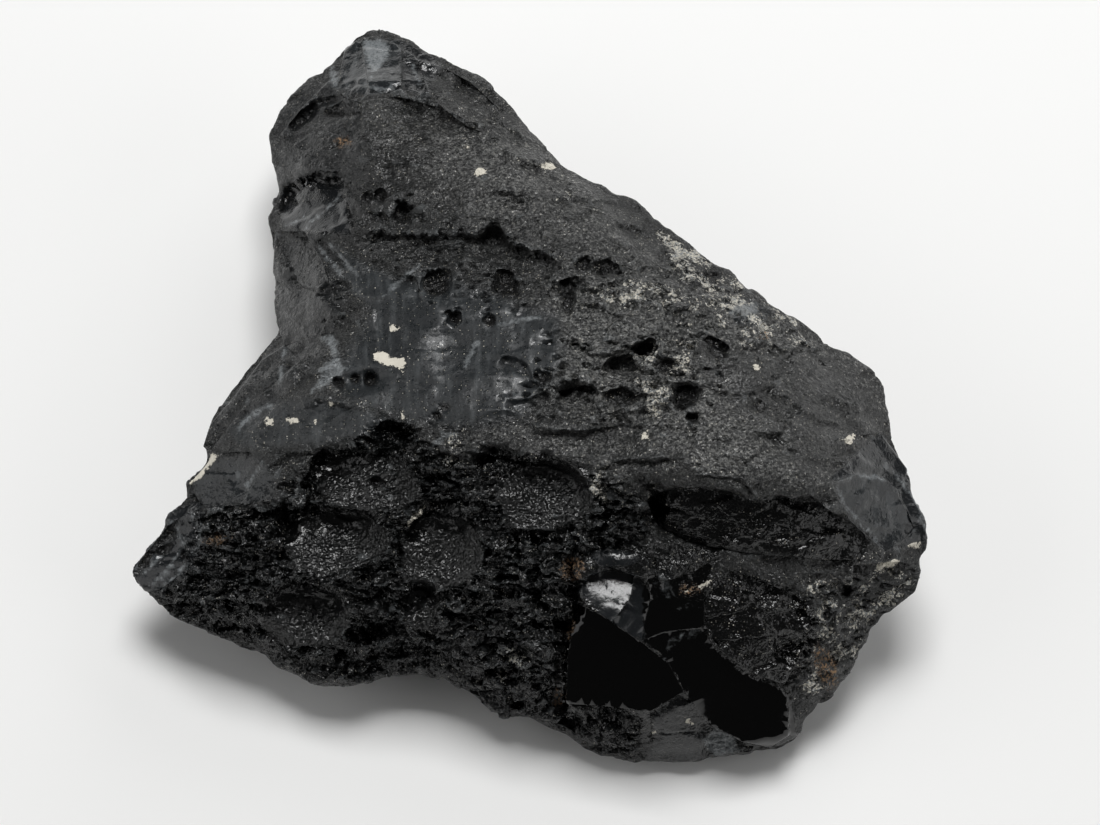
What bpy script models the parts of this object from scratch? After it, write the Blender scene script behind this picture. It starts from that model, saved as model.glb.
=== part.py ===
"""Obsidian chunk: one broken piece of volcanic glass, as one closed solid.

The stone is a flat-bottomed lump with a raised plateau, a long back edge, a narrow peak at the far left and
a broad, stepped front. Gas bubbles stretched along the flow left rows of bowls in its lower left, and a
fresh break took a deep scoop out of its lower right.

Places on it are given in a slanted frame: across runs with world X, up runs up a board that leans back
SLANT degrees from level, and reach is how far a place stands out of that board, toward a sight point
SIGHT away. Lines from the sight point pass through the board, so a place that stands out more is drawn in.
Lengths are in millimetres until the mesh is written, which is in metres.
"""

import math

import bpy
import numpy as np
from mathutils import Vector, noise

# Driving dimensions: the real width from tip to tip, and the width that the tables below are drawn at.
TIP_TO_TIP = 119.8
DRAWN_WIDTH = 119.8
METRE = 0.001 * TIP_TO_TIP / DRAWN_WIDTH

# The board and the sight point. The rim is a star about CENTRE, and SHIFT brings the middle of the stone's
# footprint to the origin.
SLANT = math.radians(65.0)
SIGHT = 620.0
MIDDLE_HEIGHT = 24.0
CENTRE = (1.5, 0.4)
SHIFT = (3.29, -10.2)

# From the rim inward, front and back part by up to THINNEST, as fast as EDGE_GROWTH says, and the relief
# comes in over RELIEF_START.
THINNEST = 3.0
EDGE_GROWTH = 26.0
RELIEF_START = 1.5

# Mesh: rows of faces along a side of the cube, the row that becomes the rim, and the share kept.
CUBE_ROWS = 90
RIM_ROW = 54
TOP_SHARE = 0.54
KEPT_TRIANGLES = 9200
REST_WITHIN = 0.06

# Weathering: how far the lumps stand out and their width, the same for the rugged lower left, where the
# layers of the flow flatten them, and how far edges wander.
LUMP_HEIGHT = 0.35
LUMP_WIDTH = 7.0
RUGGED_HEIGHT = 0.75
RUGGED_WIDTH = 4.2
LAYERED = 1.6
WANDER = 0.5
WANDER_WIDTH = 3.0
NOISE_HARDNESS = 0.9
NOISE_STEP = 2.1
NOISE_LAYERS = 3

SINE = math.sin(SLANT)
COSINE = math.cos(SLANT)

# Rim of the stone, clockwise from the peak: across, up and height above the ground.
OUTLINE = (
    (-26.1, 57.8, 20), (-22.9, 56.9, 21), (-21.1, 56.2, 22), (-19.1, 54.8, 23), (-16.5, 53.5, 24),
    (-13.8, 52.4, 25), (-10.9, 51.2, 25.5), (-9.3, 50.0, 26), (-7.3, 47.8, 27), (-5.2, 45.4, 28),
    (-2.9, 42.5, 29), (-1.1, 40.7, 30), (0.8, 38.9, 30.5), (2.7, 36.8, 31), (5.1, 35.5, 31.5),
    (7.5, 34.3, 32), (10.8, 32.9, 32.5), (13.7, 31.4, 33), (15.8, 29.6, 33), (17.7, 28.0, 33),
    (22.3, 24.5, 33), (27.0, 21.5, 33), (30.3, 18.5, 32.5), (33.8, 16.0, 32), (38.4, 13.7, 31),
    (40.5, 11.9, 30.5), (41.9, 10.3, 30), (45.3, 9.1, 29), (48.8, 6.2, 28), (50.1, 4.0, 27.5),
    (50.7, 1.9, 27), (51.3, -1.3, 26.5), (51.4, -3.8, 26), (52.9, -7.1, 25.5), (54.1, -9.5, 25),
    (54.6, -11.9, 24.5), (55.5, -14.2, 24), (56.7, -16.6, 23), (57.3, -18.8, 22), (57.0, -20.6, 21),
    (55.9, -21.8, 20), (55.6, -24.2, 19), (54.6, -26.9, 17), (51.4, -29.9, 15), (48.3, -32.6, 13),
    (47.7, -34.9, 12), (45.8, -37.3, 11), (44.9, -39.8, 10), (42.9, -42.5, 9), (40.5, -44.3, 8),
    (38.7, -46.4, 7), (37.2, -49.4, 5), (34.8, -50.9, 4), (31.2, -51.2, 3.7), (28.8, -51.8, 3.5),
    (25.5, -52.0, 3.2), (22.6, -52.7, 3), (19.5, -52.6, 3), (16.3, -52.3, 3), (12.6, -52.9, 3),
    (9.8, -52.4, 3), (6.9, -51.7, 3.5), (4.5, -50.2, 4), (2.2, -48.5, 5), (-0.6, -47.5, 5.5),
    (-3.0, -46.3, 6), (-5.8, -46.0, 6.5), (-8.1, -45.5, 7), (-9.9, -44.0, 7.5), (-12.0, -42.5, 8),
    (-15.9, -40.6, 9), (-19.6, -39.8, 9.5), (-22.5, -39.8, 9.5), (-25.3, -40.1, 9.5),
    (-27.8, -41.0, 9.3), (-30.4, -41.5, 9), (-33.0, -41.6, 9), (-36.4, -40.9, 9), (-39.0, -39.5, 9),
    (-41.7, -38.0, 9), (-44.1, -36.2, 9.5), (-46.5, -35.2, 10), (-50.2, -34.0, 10.5),
    (-53.1, -32.8, 11), (-56.2, -31.4, 11), (-58.2, -30.1, 11), (-58.9, -28.6, 12),
    (-60.8, -27.1, 12.5), (-62.7, -25.6, 13), (-63.3, -23.8, 14), (-61.9, -21.8, 15),
    (-60.0, -19.6, 16), (-58.5, -17.6, 17), (-58.0, -15.8, 18), (-56.7, -14.2, 18.5),
    (-54.9, -12.8, 19), (-55.0, -10.9, 20), (-54.0, -9.7, 20), (-51.6, -7.4, 20), (-51.9, -5.3, 20),
    (-51.6, -2.6, 20), (-51.0, -0.7, 20), (-49.6, 1.4, 20), (-48.0, 3.1, 20), (-46.6, 5.2, 20),
    (-44.9, 7.4, 20), (-42.9, 9.7, 19.5), (-41.2, 11.6, 19), (-40.9, 14.2, 19), (-41.4, 16.6, 19),
    (-41.1, 19.1, 19), (-41.5, 22.6, 19), (-41.7, 25.1, 19), (-42.3, 27.1, 19), (-42.8, 29.2, 19),
    (-41.7, 31.0, 19), (-40.8, 33.4, 19), (-41.5, 36.4, 19), (-42.1, 39.1, 19), (-42.3, 42.4, 19),
    (-41.4, 44.3, 19), (-40.2, 46.4, 19), (-38.7, 48.4, 19), (-37.0, 50.0, 19), (-35.1, 51.2, 19),
    (-33.0, 52.7, 19), (-30.8, 54.8, 19.5), (-29.5, 56.8, 20), (-27.9, 57.4, 20),
)

# Places on the side that faces the sight point: across, up and height.
BODY = (
    (14.2, -8.6, 45.5), (22.5, -9.5, 46.5), (30.1, -11.3, 45.5), (39.1, -10.7, 42.5), (44.4, -13.6, 37),
    (21.0, 1.9, 46), (10.5, -2.6, 45), (1.5, -2.6, 44), (-7.5, -4.1, 42), (-15.0, -2.6, 40),
    (-22.5, 0.4, 38.5), (-33.0, -2.6, 35), (-43.5, -4.1, 29), (-48.8, -5.6, 24), (-37.5, 4.1, 33),
    (-30.0, 12.4, 35), (-22.5, 16.9, 38), (-33.0, 21.4, 31), (-37.5, 16.9, 27), (-37.5, 25.9, 27),
    (-15.0, 10.9, 41), (-4.5, 12.4, 43), (7.5, 13.9, 45), (15.0, 18.4, 44), (22.5, 16.9, 42.5),
    (31.5, 10.9, 41.5), (40.5, 1.9, 38), (48.0, -4.1, 31), (45.0, 4.9, 32.5), (1.5, 24.4, 43),
    (-7.5, 24.4, 41), (-18.0, 24.4, 38.5), (7.5, 30.4, 39.5), (1.5, 31.9, 40), (-4.5, 37.9, 37.5),
    (-12.0, 39.4, 37), (-19.5, 43.9, 35.5), (-25.5, 46.9, 33), (-31.5, 43.9, 31), (-36.0, 40.9, 27),
    (-37.5, 34.9, 27), (-30.0, 34.9, 33), (-22.5, 34.9, 37), (-15.0, 31.9, 39), (-24.0, 52.9, 26.5),
    (-28.5, 52.9, 25), (-16.5, 49.9, 31), (-10.5, 45.4, 33), (-45.0, -13.1, 27), (-33.0, -11.6, 32),
    (-22.5, -13.1, 34), (-10.5, -13.1, 37), (1.5, -13.1, 40), (7.5, -10.1, 43), (-51.0, -19.1, 23),
    (-40.5, -22.1, 26), (-28.5, -22.1, 28), (-16.5, -22.1, 30), (-4.5, -22.1, 33), (4.5, -20.6, 35),
    (-54.0, -26.6, 17), (-43.5, -29.6, 20), (-31.5, -31.1, 21), (-19.5, -31.1, 23), (-7.5, -32.6, 24),
    (1.5, -32.6, 26), (-37.5, -36.4, 14), (-25.5, -36.4, 15), (-15.0, -37.1, 15), (-6.0, -41.6, 15),
    (0.0, -41.6, 17), (16.5, -16.1, 38), (22.5, -19.1, 34.5), (34.5, -20.6, 32.5), (43.5, -22.1, 29),
    (50.2, -25.1, 23.5), (13.5, -28.1, 30), (25.5, -31.1, 27.5), (37.5, -31.1, 24.5),
    (45.0, -31.1, 18.5), (10.5, -41.6, 19.5), (22.5, -41.6, 16.5), (34.5, -41.6, 14),
    (13.5, -48.8, 8.5), (25.5, -48.1, 8), (34.5, -46.9, 9), (42.0, -40.1, 12), (51.0, -16.1, 28),
    (46.5, -10.1, 35),
)

# Underside and back, in level world places before the shift: x, y and height. Heights below the ground are
# cut off by it, which leaves the flat face that the stone rests on.
UNDERSIDE = (
    (-22.0, 34.0, -0.5), (-10.0, 28.0, -0.5), (2.0, 18.0, -0.5), (14.0, 6.0, -0.5), (26.0, -6.0, -0.5),
    (28.0, -18.0, -0.5), (20.0, -28.0, -0.5), (6.0, -30.0, -0.5), (-8.0, -24.0, -0.5), (-22.0, -18.0, -0.5),
    (-32.0, -14.0, -0.5), (-34.0, -4.0, -0.5), (-28.0, 8.0, -0.5), (-26.0, 22.0, -0.5),
    (-10.0, 8.0, -1.5), (8.0, -10.0, -1.5), (-14.0, -6.0, -1.5), (-26.0, 44.0, 2.5), (-12.0, 40.0, 2.0),
    (4.0, 28.0, 3.0), (18.0, 14.0, 3.5), (32.0, 2.0, 3.0), (38.0, -12.0, 2.5), (36.0, -28.0, 2.0),
    (24.0, -40.0, 0.6), (6.0, -39.0, 0.8), (-8.0, -32.0, 1.6), (-26.0, -27.0, 2.5), (-42.0, -21.0, 3.0),
    (-43.0, -8.0, 3.0), (-37.0, 6.0, 2.5), (-33.0, 22.0, 2.5), (-34.0, 36.0, 3.0), (22.0, 19.0, 15.0),
    (36.0, 8.0, 17.0), (6.0, 33.0, 15.0), (-12.0, 50.0, 12.0), (50.0, -12.0, 12.0), (-39.0, 46.0, 9.0),
    (-41.0, 22.0, 10.0), (-50.0, -4.0, 10.0), (-54.0, -22.0, 7.0), (42.0, -34.0, 5.0),
)

# Steps in the surface: drop, how far the drop lasts, and the path of its edge. The low side is on the
# right of the way that the path runs, and the edge itself is LEDGE_LIP wide.
LEDGE_LIP = 0.9
LEDGES = (
    (1.7, 3.2, (
        (-29.5, 26.2), (-25.5, 27.2), (-17.8, 26.0), (-15.8, 26.9), (-13.5, 27.1), (-11.2, 26.3),
        (-9.0, 27.1), (-7.5, 27.1), (-6.0, 24.4),
    )),
    (1.3, 3, ((-8.4, 29.0), (-5.8, 24.5), (-0.8, 23.9), (1.8, 22.6))),
    (2, 4.5, (
        (-40.6, 31.0), (-39.9, 33.7), (-38.7, 34.9), (-36.8, 34.6), (-35.1, 35.6), (-33.3, 35.9),
        (-31.8, 35.2), (-30.8, 34.0), (-29.4, 34.9),
    )),
    (1.1, 4, ((-22.5, 47.3), (-18.8, 47.0), (-12.0, 42.7), (-0.8, 40.0))),
    (1.1, 2.6, ((-41.7, 27.2), (-36.8, 27.4), (-34.8, 26.3), (-29.7, 21.2))),
    (0.8, 2.6, ((-28.5, 23.2), (-25.5, 22.7), (-19.9, 19.9), (-17.7, 16.4))),
    (-0.9, 2.6, ((-34.8, 6.7), (-44.2, 2.3), (-49.2, -3.5))),
    (1.1, 2.8, ((-7.5, 1.1), (-0.8, 2.8), (3.9, 4.7), (6.3, 2.8))),
    (1.2, 3.2, ((2.7, 11.9), (6.1, 9.1), (14.2, 10.3), (16.8, 9.1))),
    (0.9, 5, (
        (28.5, 16.6), (20.2, 19.0), (14.2, 23.5), (11.7, 25.0), (9.6, 29.6), (4.5, 34.9), (-0.1, 39.7),
    )),
    (1.6, 5, (
        (13.8, -9.2), (17.2, -11.3), (22.9, -10.4), (30.1, -12.8), (39.1, -12.1), (45.0, -16.0),
        (48.0, -19.3), (50.2, -20.8),
    )),
    (1.5, 2.6, ((13.8, -13.1), (15.8, -16.4), (26.2, -20.2), (33.8, -21.1))),
    (1.3, 2.6, ((13.5, -8.9), (16.8, -15.4))),
    (0.8, 3.2, (
        (24.3, -23.9), (27.0, -22.7), (29.2, -22.9), (31.5, -24.8), (36.0, -25.9), (40.8, -29.9),
    )),
    (1.6, 3, ((5.0, -23.0), (7.5, -23.6), (14.7, -22.4))),
    (1.1, 3.2, ((17.7, -28.1), (25.8, -24.8))),
    (1, 3, ((3.9, -27.8), (10.5, -32.3), (13.5, -34.3))),
    (0.9, 3.4, ((2.4, -35.0), (6.0, -33.2), (9.8, -32.9), (13.5, -34.1))),
    (1.9, 4, ((13.5, -36.4), (17.2, -37.4), (22.5, -44.9), (24.6, -47.0))),
    (2.2, 4.2, (
        (-37.8, -13.6), (-35.7, -7.6), (-34.2, -6.1), (-30.8, -5.8), (-28.8, -4.4), (-26.6, -4.1),
    )),
    (2.4, 4.2, ((-40.6, -19.9), (-40.5, -14.2), (-37.5, -13.1), (-30.8, -15.4), (-25.8, -15.8))),
    (2, 3.6, (
        (-22.3, -19.9), (-21.8, -16.9), (-20.7, -14.9), (-16.5, -13.4), (-13.8, -13.9), (-13.0, -19.1),
    )),
    (2.2, 4.2, ((-11.1, -9.2), (-9.8, -6.5), (-8.2, -5.5), (0.0, -7.7), (5.7, -10.4), (6.0, -13.1))),
    (2.6, 4.4, (
        (-43.4, -30.2), (-42.0, -27.5), (-39.8, -25.9), (-37.2, -25.1), (-31.8, -27.4), (-30.1, -29.3),
    )),
    (1.6, 3, ((-22.8, -29.9), (-22.3, -26.6), (-20.6, -25.6), (-18.3, -26.3), (-16.9, -28.1))),
)

# Bowls: place, half width, half height, turn in degrees, depth, and how far the deep side lies up.
HOLLOWS = (
    ((-11.7, 47.2), 9.3, 3, -36, 1.3, 0.2),
    ((-34.8, 30.7), 5.4, 3.9, 0, 1.6, 0.5),
    ((-38.4, 31.9), 1.6, 2.7, 0, 1.2, 0.3),
    ((-22.1, 29.9), 1.5, 1.5, 0, 1.1, 0.3),
    ((-17.1, 19.3), 2, 1.9, 0, 1.5, 0.3),
    ((-6.9, 19.3), 1.9, 1.7, 0, 1.3, 0.3),
    ((4.2, 2.2), 2.7, 2.1, 0, 1.6, 0.4),
    ((10.8, 6.1), 2.9, 2.2, 0, 1.7, 0.4),
    ((10.8, 2.3), 2.5, 1.4, 0, 1.2, 0.4),
    ((20.2, 2.5), 1.9, 1.8, 0, 1.3, 0.3),
    ((25.1, 9.4), 1.6, 1.5, 0, 1, 0.3),
    ((-23.6, -5.3), 3.8, 3.8, 0, 2, 0.5),
    ((-28.2, -10.4), 8.4, 5, 0, 2.4, 0.6),
    ((-32.1, -19.6), 8.1, 5.1, 5, 3.2, 0.6),
    ((-16.5, -20.6), 6.3, 6.6, 0, 3, 0.5),
    ((-0.8, -12.7), 6.9, 5.5, -8, 2.8, 0.6),
    ((-36.9, -30.5), 6.6, 5.2, 0, 3, 0.6),
    ((-19.3, -29.0), 3, 3.8, 0, 2, 0.5),
    ((-39.8, -16.1), 1.6, 3, 0, 1.2, 0),
    ((-9.0, -7.1), 1.8, 1.8, 0, 1.6, 0.2),
    ((-33.0, -8.6), 3, 1.5, -20, 1, 0.3),
    ((15.6, -13.9), 1.6, 3.3, 0, 1.6, 0.2),
    ((26.2, -41.6), 8.2, 7.2, -35, 4.2, -0.1),
    ((10.5, -38.3), 7.5, 5, -8, 1.6, 0.2),
    ((9.8, -29.3), 4.3, 3.8, -35, 1, 0.2),
    ((21.0, -29.6), 4.5, 3, 0, 1, 0.3),
    ((47.7, -15.2), 5.2, 3.4, -50, 1, 0.1),
    ((31.5, -16.1), 14.2, 3.3, -12, 1.4, -0.2),
)

# Flake scars on the back and under the rim: place on the board, half width, half height, turn and depth.
BACK_SCARS = (
    ((20.0, 8.0), 13.0, 9.0, -35, 2.2), ((2.0, 24.0), 11.0, 8.0, -35, 1.8),
    ((40.0, -6.0), 9.0, 11.0, 10, 1.8), ((-30.0, 40.0), 8.0, 9.0, 20, 1.6),
    ((-44.0, -6.0), 9.0, 10.0, -20, 1.8), ((-36.0, 16.0), 8.0, 12.0, 0, 1.6),
)

# Swellings: place, half width, half height, turn and height.
LOBES = (
    ((-33.8, 18.4), 6.5, 5.5, 0, 1),
    ((-46.5, 4.1), 4, 6.5, -35, 1.2),
    ((9.3, -10.6), 2.4, 2.4, 0, 0.9),
    ((9.9, -21.8), 4.6, 1.3, 0, 1.1),
    ((32.2, -32.6), 8, 7, 30, 1.2),
    ((18.0, -44.0), 5, 3, 30, 1.2),
    ((39.8, -31.1), 2.5, 4, 0, 0.8),
    ((-30.8, -40.4), 4.5, 1.6, 0, 0.8),
    ((40.5, -42.4), 3, 3, 30, 1),
)

# The crack down the front, beside the fresh break: its path, half width and depth.
CRACK = ((3.8, -18.7), (3.3, -26.8), (3.3, -30.4), (1.4, -35.6), (0.9, -44.0), (3.0, -46.4))
CRACK_WIDTH = 0.9
CRACK_DEPTH = 1.8

# The rugged lower left, as a closed path, and how softly it begins.
RUGGED = (
    (-53.1, -14.9), (-40.5, -13.1), (-36.0, -6.4), (-26.2, -2.3), (-18.0, -5.6), (-7.5, -5.0), (6.0, -9.2),
    (14.2, -13.1), (4.5, -22.1), (0.9, -46.1), (-16.5, -43.1), (-43.5, -38.6), (-60.0, -28.1), (-55.5, -24.4),
)
RUGGED_EDGE = 2.0

GLASS = (0.016, 0.017, 0.018, 1.0)
GLASS_ROUGHNESS = 0.32


def reach_of(across, up, height):
    """How far a place of this height stands out of the board."""
    return (height - MIDDLE_HEIGHT - up * COSINE) / (SINE - up * COSINE / SIGHT)


def world_of(across, up, reach):
    """World x, y and height of places on the board, before the shift."""
    drawn_in = 1.0 - reach / SIGHT
    risen = up * drawn_in
    return (
        across * drawn_in,
        risen * SINE - reach * COSINE,
        risen * COSINE + reach * SINE + MIDDLE_HEIGHT,
    )


def board_of(x, y, height):
    """Place on the board and reach of a world place, before the shift."""
    risen = y * SINE + (height - MIDDLE_HEIGHT) * COSINE
    reach = (height - MIDDLE_HEIGHT) * SINE - y * COSINE
    drawn_in = 1.0 - reach / SIGHT
    return x / drawn_in, risen / drawn_in, reach


def smooth(low, high, value):
    share = np.clip((value - low) / (high - low), 0.0, 1.0)
    return share * share * (3.0 - 2.0 * share)


def rounded(distance):
    """The spline's kernel: a cone with a rounded tip, which leaves nearly flat facets between its points."""
    return np.sqrt(distance * distance + 4.0)


class Sheet:
    """A surface over the board that passes through given places."""

    def __init__(self, places):
        places = np.array(places)
        self.spots = places[:, :2]
        count = len(places)
        gaps = np.linalg.norm(self.spots[:, None] - self.spots[None, :], axis=2)
        system = np.zeros((count + 3, count + 3))
        system[:count, :count] = rounded(gaps)
        system[:count, count] = 1.0
        system[:count, count + 1:] = self.spots
        system[count, :count] = 1.0
        system[count + 1:, :count] = self.spots.T
        self.weights = np.linalg.solve(system, np.append(places[:, 2], (0.0, 0.0, 0.0)))

    def reach(self, across, up):
        total = self.weights[-3] + self.weights[-2] * across + self.weights[-1] * up
        for (x, y), weight in zip(self.spots, self.weights):
            total = total + weight * rounded(np.hypot(across - x, up - y))
        return total


def along_path(across, up, path):
    """Distance to a path, negative on its left, and the share of the path's length at the nearest place."""
    lengths = [math.dist(a, b) for a, b in zip(path, path[1:])]
    nearest = np.full(across.shape, np.inf)
    side = np.ones(across.shape)
    share = np.zeros(across.shape)
    passed = 0.0
    for (ax, ay), (bx, by), length in zip(path, path[1:], lengths):
        dx = (bx - ax) / length
        dy = (by - ay) / length
        run = np.clip((across - ax) * dx + (up - ay) * dy, 0.0, length)
        distance = np.hypot(across - ax - run * dx, up - ay - run * dy)
        closer = distance < nearest
        nearest = np.where(closer, distance, nearest)
        side = np.where(closer, np.where((across - ax) * dy > (up - ay) * dx, 1.0, -1.0), side)
        share = np.where(closer, (passed + run) / sum(lengths), share)
        passed += length
    return nearest * side, share


def fading(share):
    """One along a path, falling to nothing at its two ends."""
    return smooth(0.0, 0.15, share) * smooth(0.0, 0.15, 1.0 - share)


def ledge(across, up, drop, lasts, path):
    distance, share = along_path(across, up, path)
    fall = smooth(-0.3 * LEDGE_LIP, LEDGE_LIP, distance)
    return -drop * fall * np.exp(-(np.maximum(distance, 0.0) / lasts) ** 2) * fading(share)


def crack(across, up):
    distance, share = along_path(across, up, CRACK)
    return -CRACK_DEPTH * np.exp(-(distance / CRACK_WIDTH) ** 2) * fading(share)


def turned(across, up, place, half_width, half_height, turn):
    """Place within a turned oval, where its rim is at one."""
    cosine = math.cos(math.radians(turn))
    sine = math.sin(math.radians(turn))
    x = (across - place[0]) * cosine + (up - place[1]) * sine
    y = (up - place[1]) * cosine - (across - place[0]) * sine
    return x / half_width, y / half_height


def hollow(across, up, place, half_width, half_height, turn, depth, lean):
    x, y = turned(across, up, place, half_width, half_height, turn)
    return -depth * np.maximum(1.0 - x * x - y * y, 0.0) ** 0.7 * (1.0 + lean * y)


def lobe(across, up, place, half_width, half_height, turn, height):
    x, y = turned(across, up, place, half_width, half_height, turn)
    return height * np.exp(-(x * x + y * y))


def inside(across, up, path, edge):
    """One inside a closed path and nothing outside, with a soft edge."""
    closed = tuple(path) + (path[0],)
    distance, _ = along_path(across, up, closed)
    within = np.zeros(across.shape, bool)
    for (ax, ay), (bx, by) in zip(closed, closed[1:]):
        if ay != by:
            within ^= ((ay > up) != (by > up)) & (across < (bx - ax) * (up - ay) / (by - ay) + ax)
    return smooth(-edge, edge, np.where(within, np.abs(distance), -np.abs(distance)))


def lumps(across, up, reach, width):
    """Fractal noise of about this width, from -1 to 1."""
    places = np.column_stack((across, up, reach)) / width
    return np.array([noise.fractal(Vector(p), NOISE_HARDNESS, NOISE_STEP, NOISE_LAYERS) for p in places])


def rim_radius(angle):
    """How far the rim lies from the centre in this direction, and its reach there."""
    rim = np.array([(x - CENTRE[0], y - CENTRE[1], reach_of(x, y, height)) for x, y, height in OUTLINE])
    starts = rim
    ends = np.roll(rim, -1, axis=0)
    runs = ends - starts
    radius = np.zeros(angle.shape)
    reach = np.zeros(angle.shape)
    cosine = np.cos(angle)
    sine = np.sin(angle)
    for start, run in zip(starts, runs):
        crossing = cosine * run[1] - sine * run[0]
        safe = np.where(np.abs(crossing) < 1e-9, 1e-9, crossing)
        share = (sine * start[0] - cosine * start[1]) / safe
        distance = (start[0] * run[1] - start[1] * run[0]) / safe
        hit = (share >= 0.0) & (share <= 1.0) & (distance > 0.0)
        radius = np.where(hit, distance, radius)
        reach = np.where(hit, start[2] + share * run[2], reach)
    return radius, reach


def wandered(across, up):
    """The same places moved a little to and fro, so that steps and bowls wander as broken edges do."""
    level = np.zeros(across.shape)
    across_move = WANDER * lumps(across, up, level, WANDER_WIDTH)
    up_move = WANDER * lumps(up, across, level, WANDER_WIDTH)
    return across + across_move, up + up_move


def front_reach(across, up):
    """The side that faces the sight point, and the relief on it."""
    places = [(x, y, reach_of(x, y, height)) for x, y, height in OUTLINE + BODY]
    reach = Sheet(places).reach(across, up)
    rugged = inside(across, up, RUGGED, RUGGED_EDGE)
    relief = LUMP_HEIGHT * lumps(across, up, reach, LUMP_WIDTH)
    relief += RUGGED_HEIGHT * rugged * lumps(across, up * LAYERED, reach, RUGGED_WIDTH)
    across, up = wandered(across, up)
    for drop, lasts, path in LEDGES:
        relief += ledge(across, up, drop, lasts, path)
    for bowl in HOLLOWS:
        relief += hollow(across, up, *bowl)
    for swelling in LOBES:
        relief += lobe(across, up, *swelling)
    relief += crack(across, up)
    return reach, relief


def back_reach(across, up):
    """The side that faces away, and the relief on it."""
    places = [(x, y, reach_of(x, y, height)) for x, y, height in OUTLINE]
    places += [board_of(*place) for place in UNDERSIDE]
    reach = Sheet(places).reach(across, up)
    relief = np.zeros(across.shape)
    for scar in BACK_SCARS:
        relief -= hollow(across, up, *scar, 0.0)
    relief += LUMP_HEIGHT * lumps(across, up, reach, LUMP_WIDTH)
    return reach, relief


def disc_of(cube):
    """Each vertex of the cube as an angle and a share of the way from the centre to the rim, and its sheet.

    The cube's top opens out into the middle of the front and its bottom into the middle of the back. The
    rows of its sides above the rim's go on outward in front, and those below it come back in behind.
    """
    x, y, z = cube.T
    ring = np.maximum(np.abs(x), np.abs(y))
    wide = np.abs(x) >= np.abs(y)
    quarter = math.pi / 4.0
    with np.errstate(divide="ignore", invalid="ignore"):
        from_x = np.where(ring > 0.0, quarter * y / x, 0.0) + np.where(x < 0.0, math.pi, 0.0)
        from_y = np.where(ring > 0.0, -quarter * x / y, 0.0) + np.where(y < 0.0, -0.5, 0.5) * math.pi
    angle = np.where(wide, from_x, from_y)
    angle = np.where(ring > 0.0, angle, 0.0)
    rim = 1.0 - 2.0 * RIM_ROW / CUBE_ROWS
    front = z >= rim - 1e-6
    to_rim = np.where(front, (1.0 - z) / (1.0 - rim), (1.0 + z) / (1.0 + rim))
    outer = np.sqrt(TOP_SHARE ** 2 + (1.0 - TOP_SHARE ** 2) * np.clip(to_rim, 0.0, 1.0))
    share = np.where(np.abs(z) > 1.0 - 1e-6, TOP_SHARE * ring, outer)
    return angle, share, front


def stone_places(cube):
    """Where each vertex of the cube goes, in millimetres."""
    angle, share, front = disc_of(cube)
    radius, rim_reach = rim_radius(angle)
    across = CENTRE[0] + share * radius * np.cos(angle)
    up = CENTRE[1] + share * radius * np.sin(angle)
    inward = (1.0 - share) * EDGE_GROWTH
    fade = smooth(0.0, RELIEF_START, inward)
    reach, relief = front_reach(across, up)
    facing = reach + fade * relief
    reach, relief = back_reach(across, up)
    ground = reach_of(across, up, 0.0)
    away = np.maximum(reach + fade * relief, ground)
    away = np.minimum(away, facing - np.minimum(inward, THINNEST))
    on_rim = share > 1.0 - 1e-6
    chosen = np.where(on_rim, rim_reach, np.where(front, facing, away))
    x, y, height = world_of(across, up, chosen)
    return np.column_stack((x + SHIFT[0], y + SHIFT[1], np.maximum(height, 0.0)))


def clear_scene():
    for thing in list(bpy.data.objects):
        bpy.data.objects.remove(thing, do_unlink=True)


def stone_object():
    """A cube cut into a fine grid, each vertex moved onto the stone, then thinned where it is flat."""
    bpy.ops.mesh.primitive_cube_add(size=2.0)
    stone = bpy.context.active_object
    stone.name = "obsidian_chunk"
    mesh = stone.data
    bpy.ops.object.mode_set(mode="EDIT")
    bpy.ops.mesh.subdivide(number_cuts=CUBE_ROWS - 1)
    bpy.ops.mesh.quads_convert_to_tris(quad_method="SHORTEST_DIAGONAL")
    bpy.ops.object.mode_set(mode="OBJECT")
    cube = np.empty(len(mesh.vertices) * 3)
    mesh.vertices.foreach_get("co", cube)
    places = stone_places(cube.reshape(-1, 3)) * METRE
    mesh.vertices.foreach_set("co", places.ravel())
    mesh.update()
    thin_out(stone)
    return stone


def thin_out(stone):
    """Fewer faces where the stone is flat, and the face that it rests on made true."""
    fine = stone.data
    thin = stone.modifiers.new("Thin", "DECIMATE")
    thin.ratio = KEPT_TRIANGLES / len(fine.polygons)
    graph = bpy.context.evaluated_depsgraph_get()
    stone.data = bpy.data.meshes.new_from_object(stone.evaluated_get(graph))
    stone.modifiers.remove(thin)
    bpy.data.meshes.remove(fine)
    stone.data.name = stone.name
    for vertex in stone.data.vertices:
        if vertex.co.z < REST_WITHIN * METRE:
            vertex.co.z = 0.0


def glass_material():
    material = bpy.data.materials.new("obsidian")
    material.use_nodes = True
    shader = material.node_tree.nodes["Principled BSDF"]
    shader.inputs["Base Color"].default_value = GLASS
    shader.inputs["Roughness"].default_value = GLASS_ROUGHNESS
    shader.inputs["Metallic"].default_value = 0.0
    return material


def main():
    clear_scene()
    group = bpy.data.collections.new("Obsidian chunk")
    bpy.context.scene.collection.children.link(group)
    stone = stone_object()
    for holder in stone.users_collection:
        holder.objects.unlink(stone)
    group.objects.link(stone)
    stone.data.materials.append(glass_material())


main()
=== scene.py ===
"""Obsidian chunk: the finished look of one broken piece of volcanic glass.

The stone's places are given in a slanted frame: across runs with world X, up runs up a board that leans
back SLANT degrees from level, and reach is how far a place stands out of that board, toward a sight point
SIGHT away. Lengths in the tables are millimetres.
"""

import math

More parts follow.
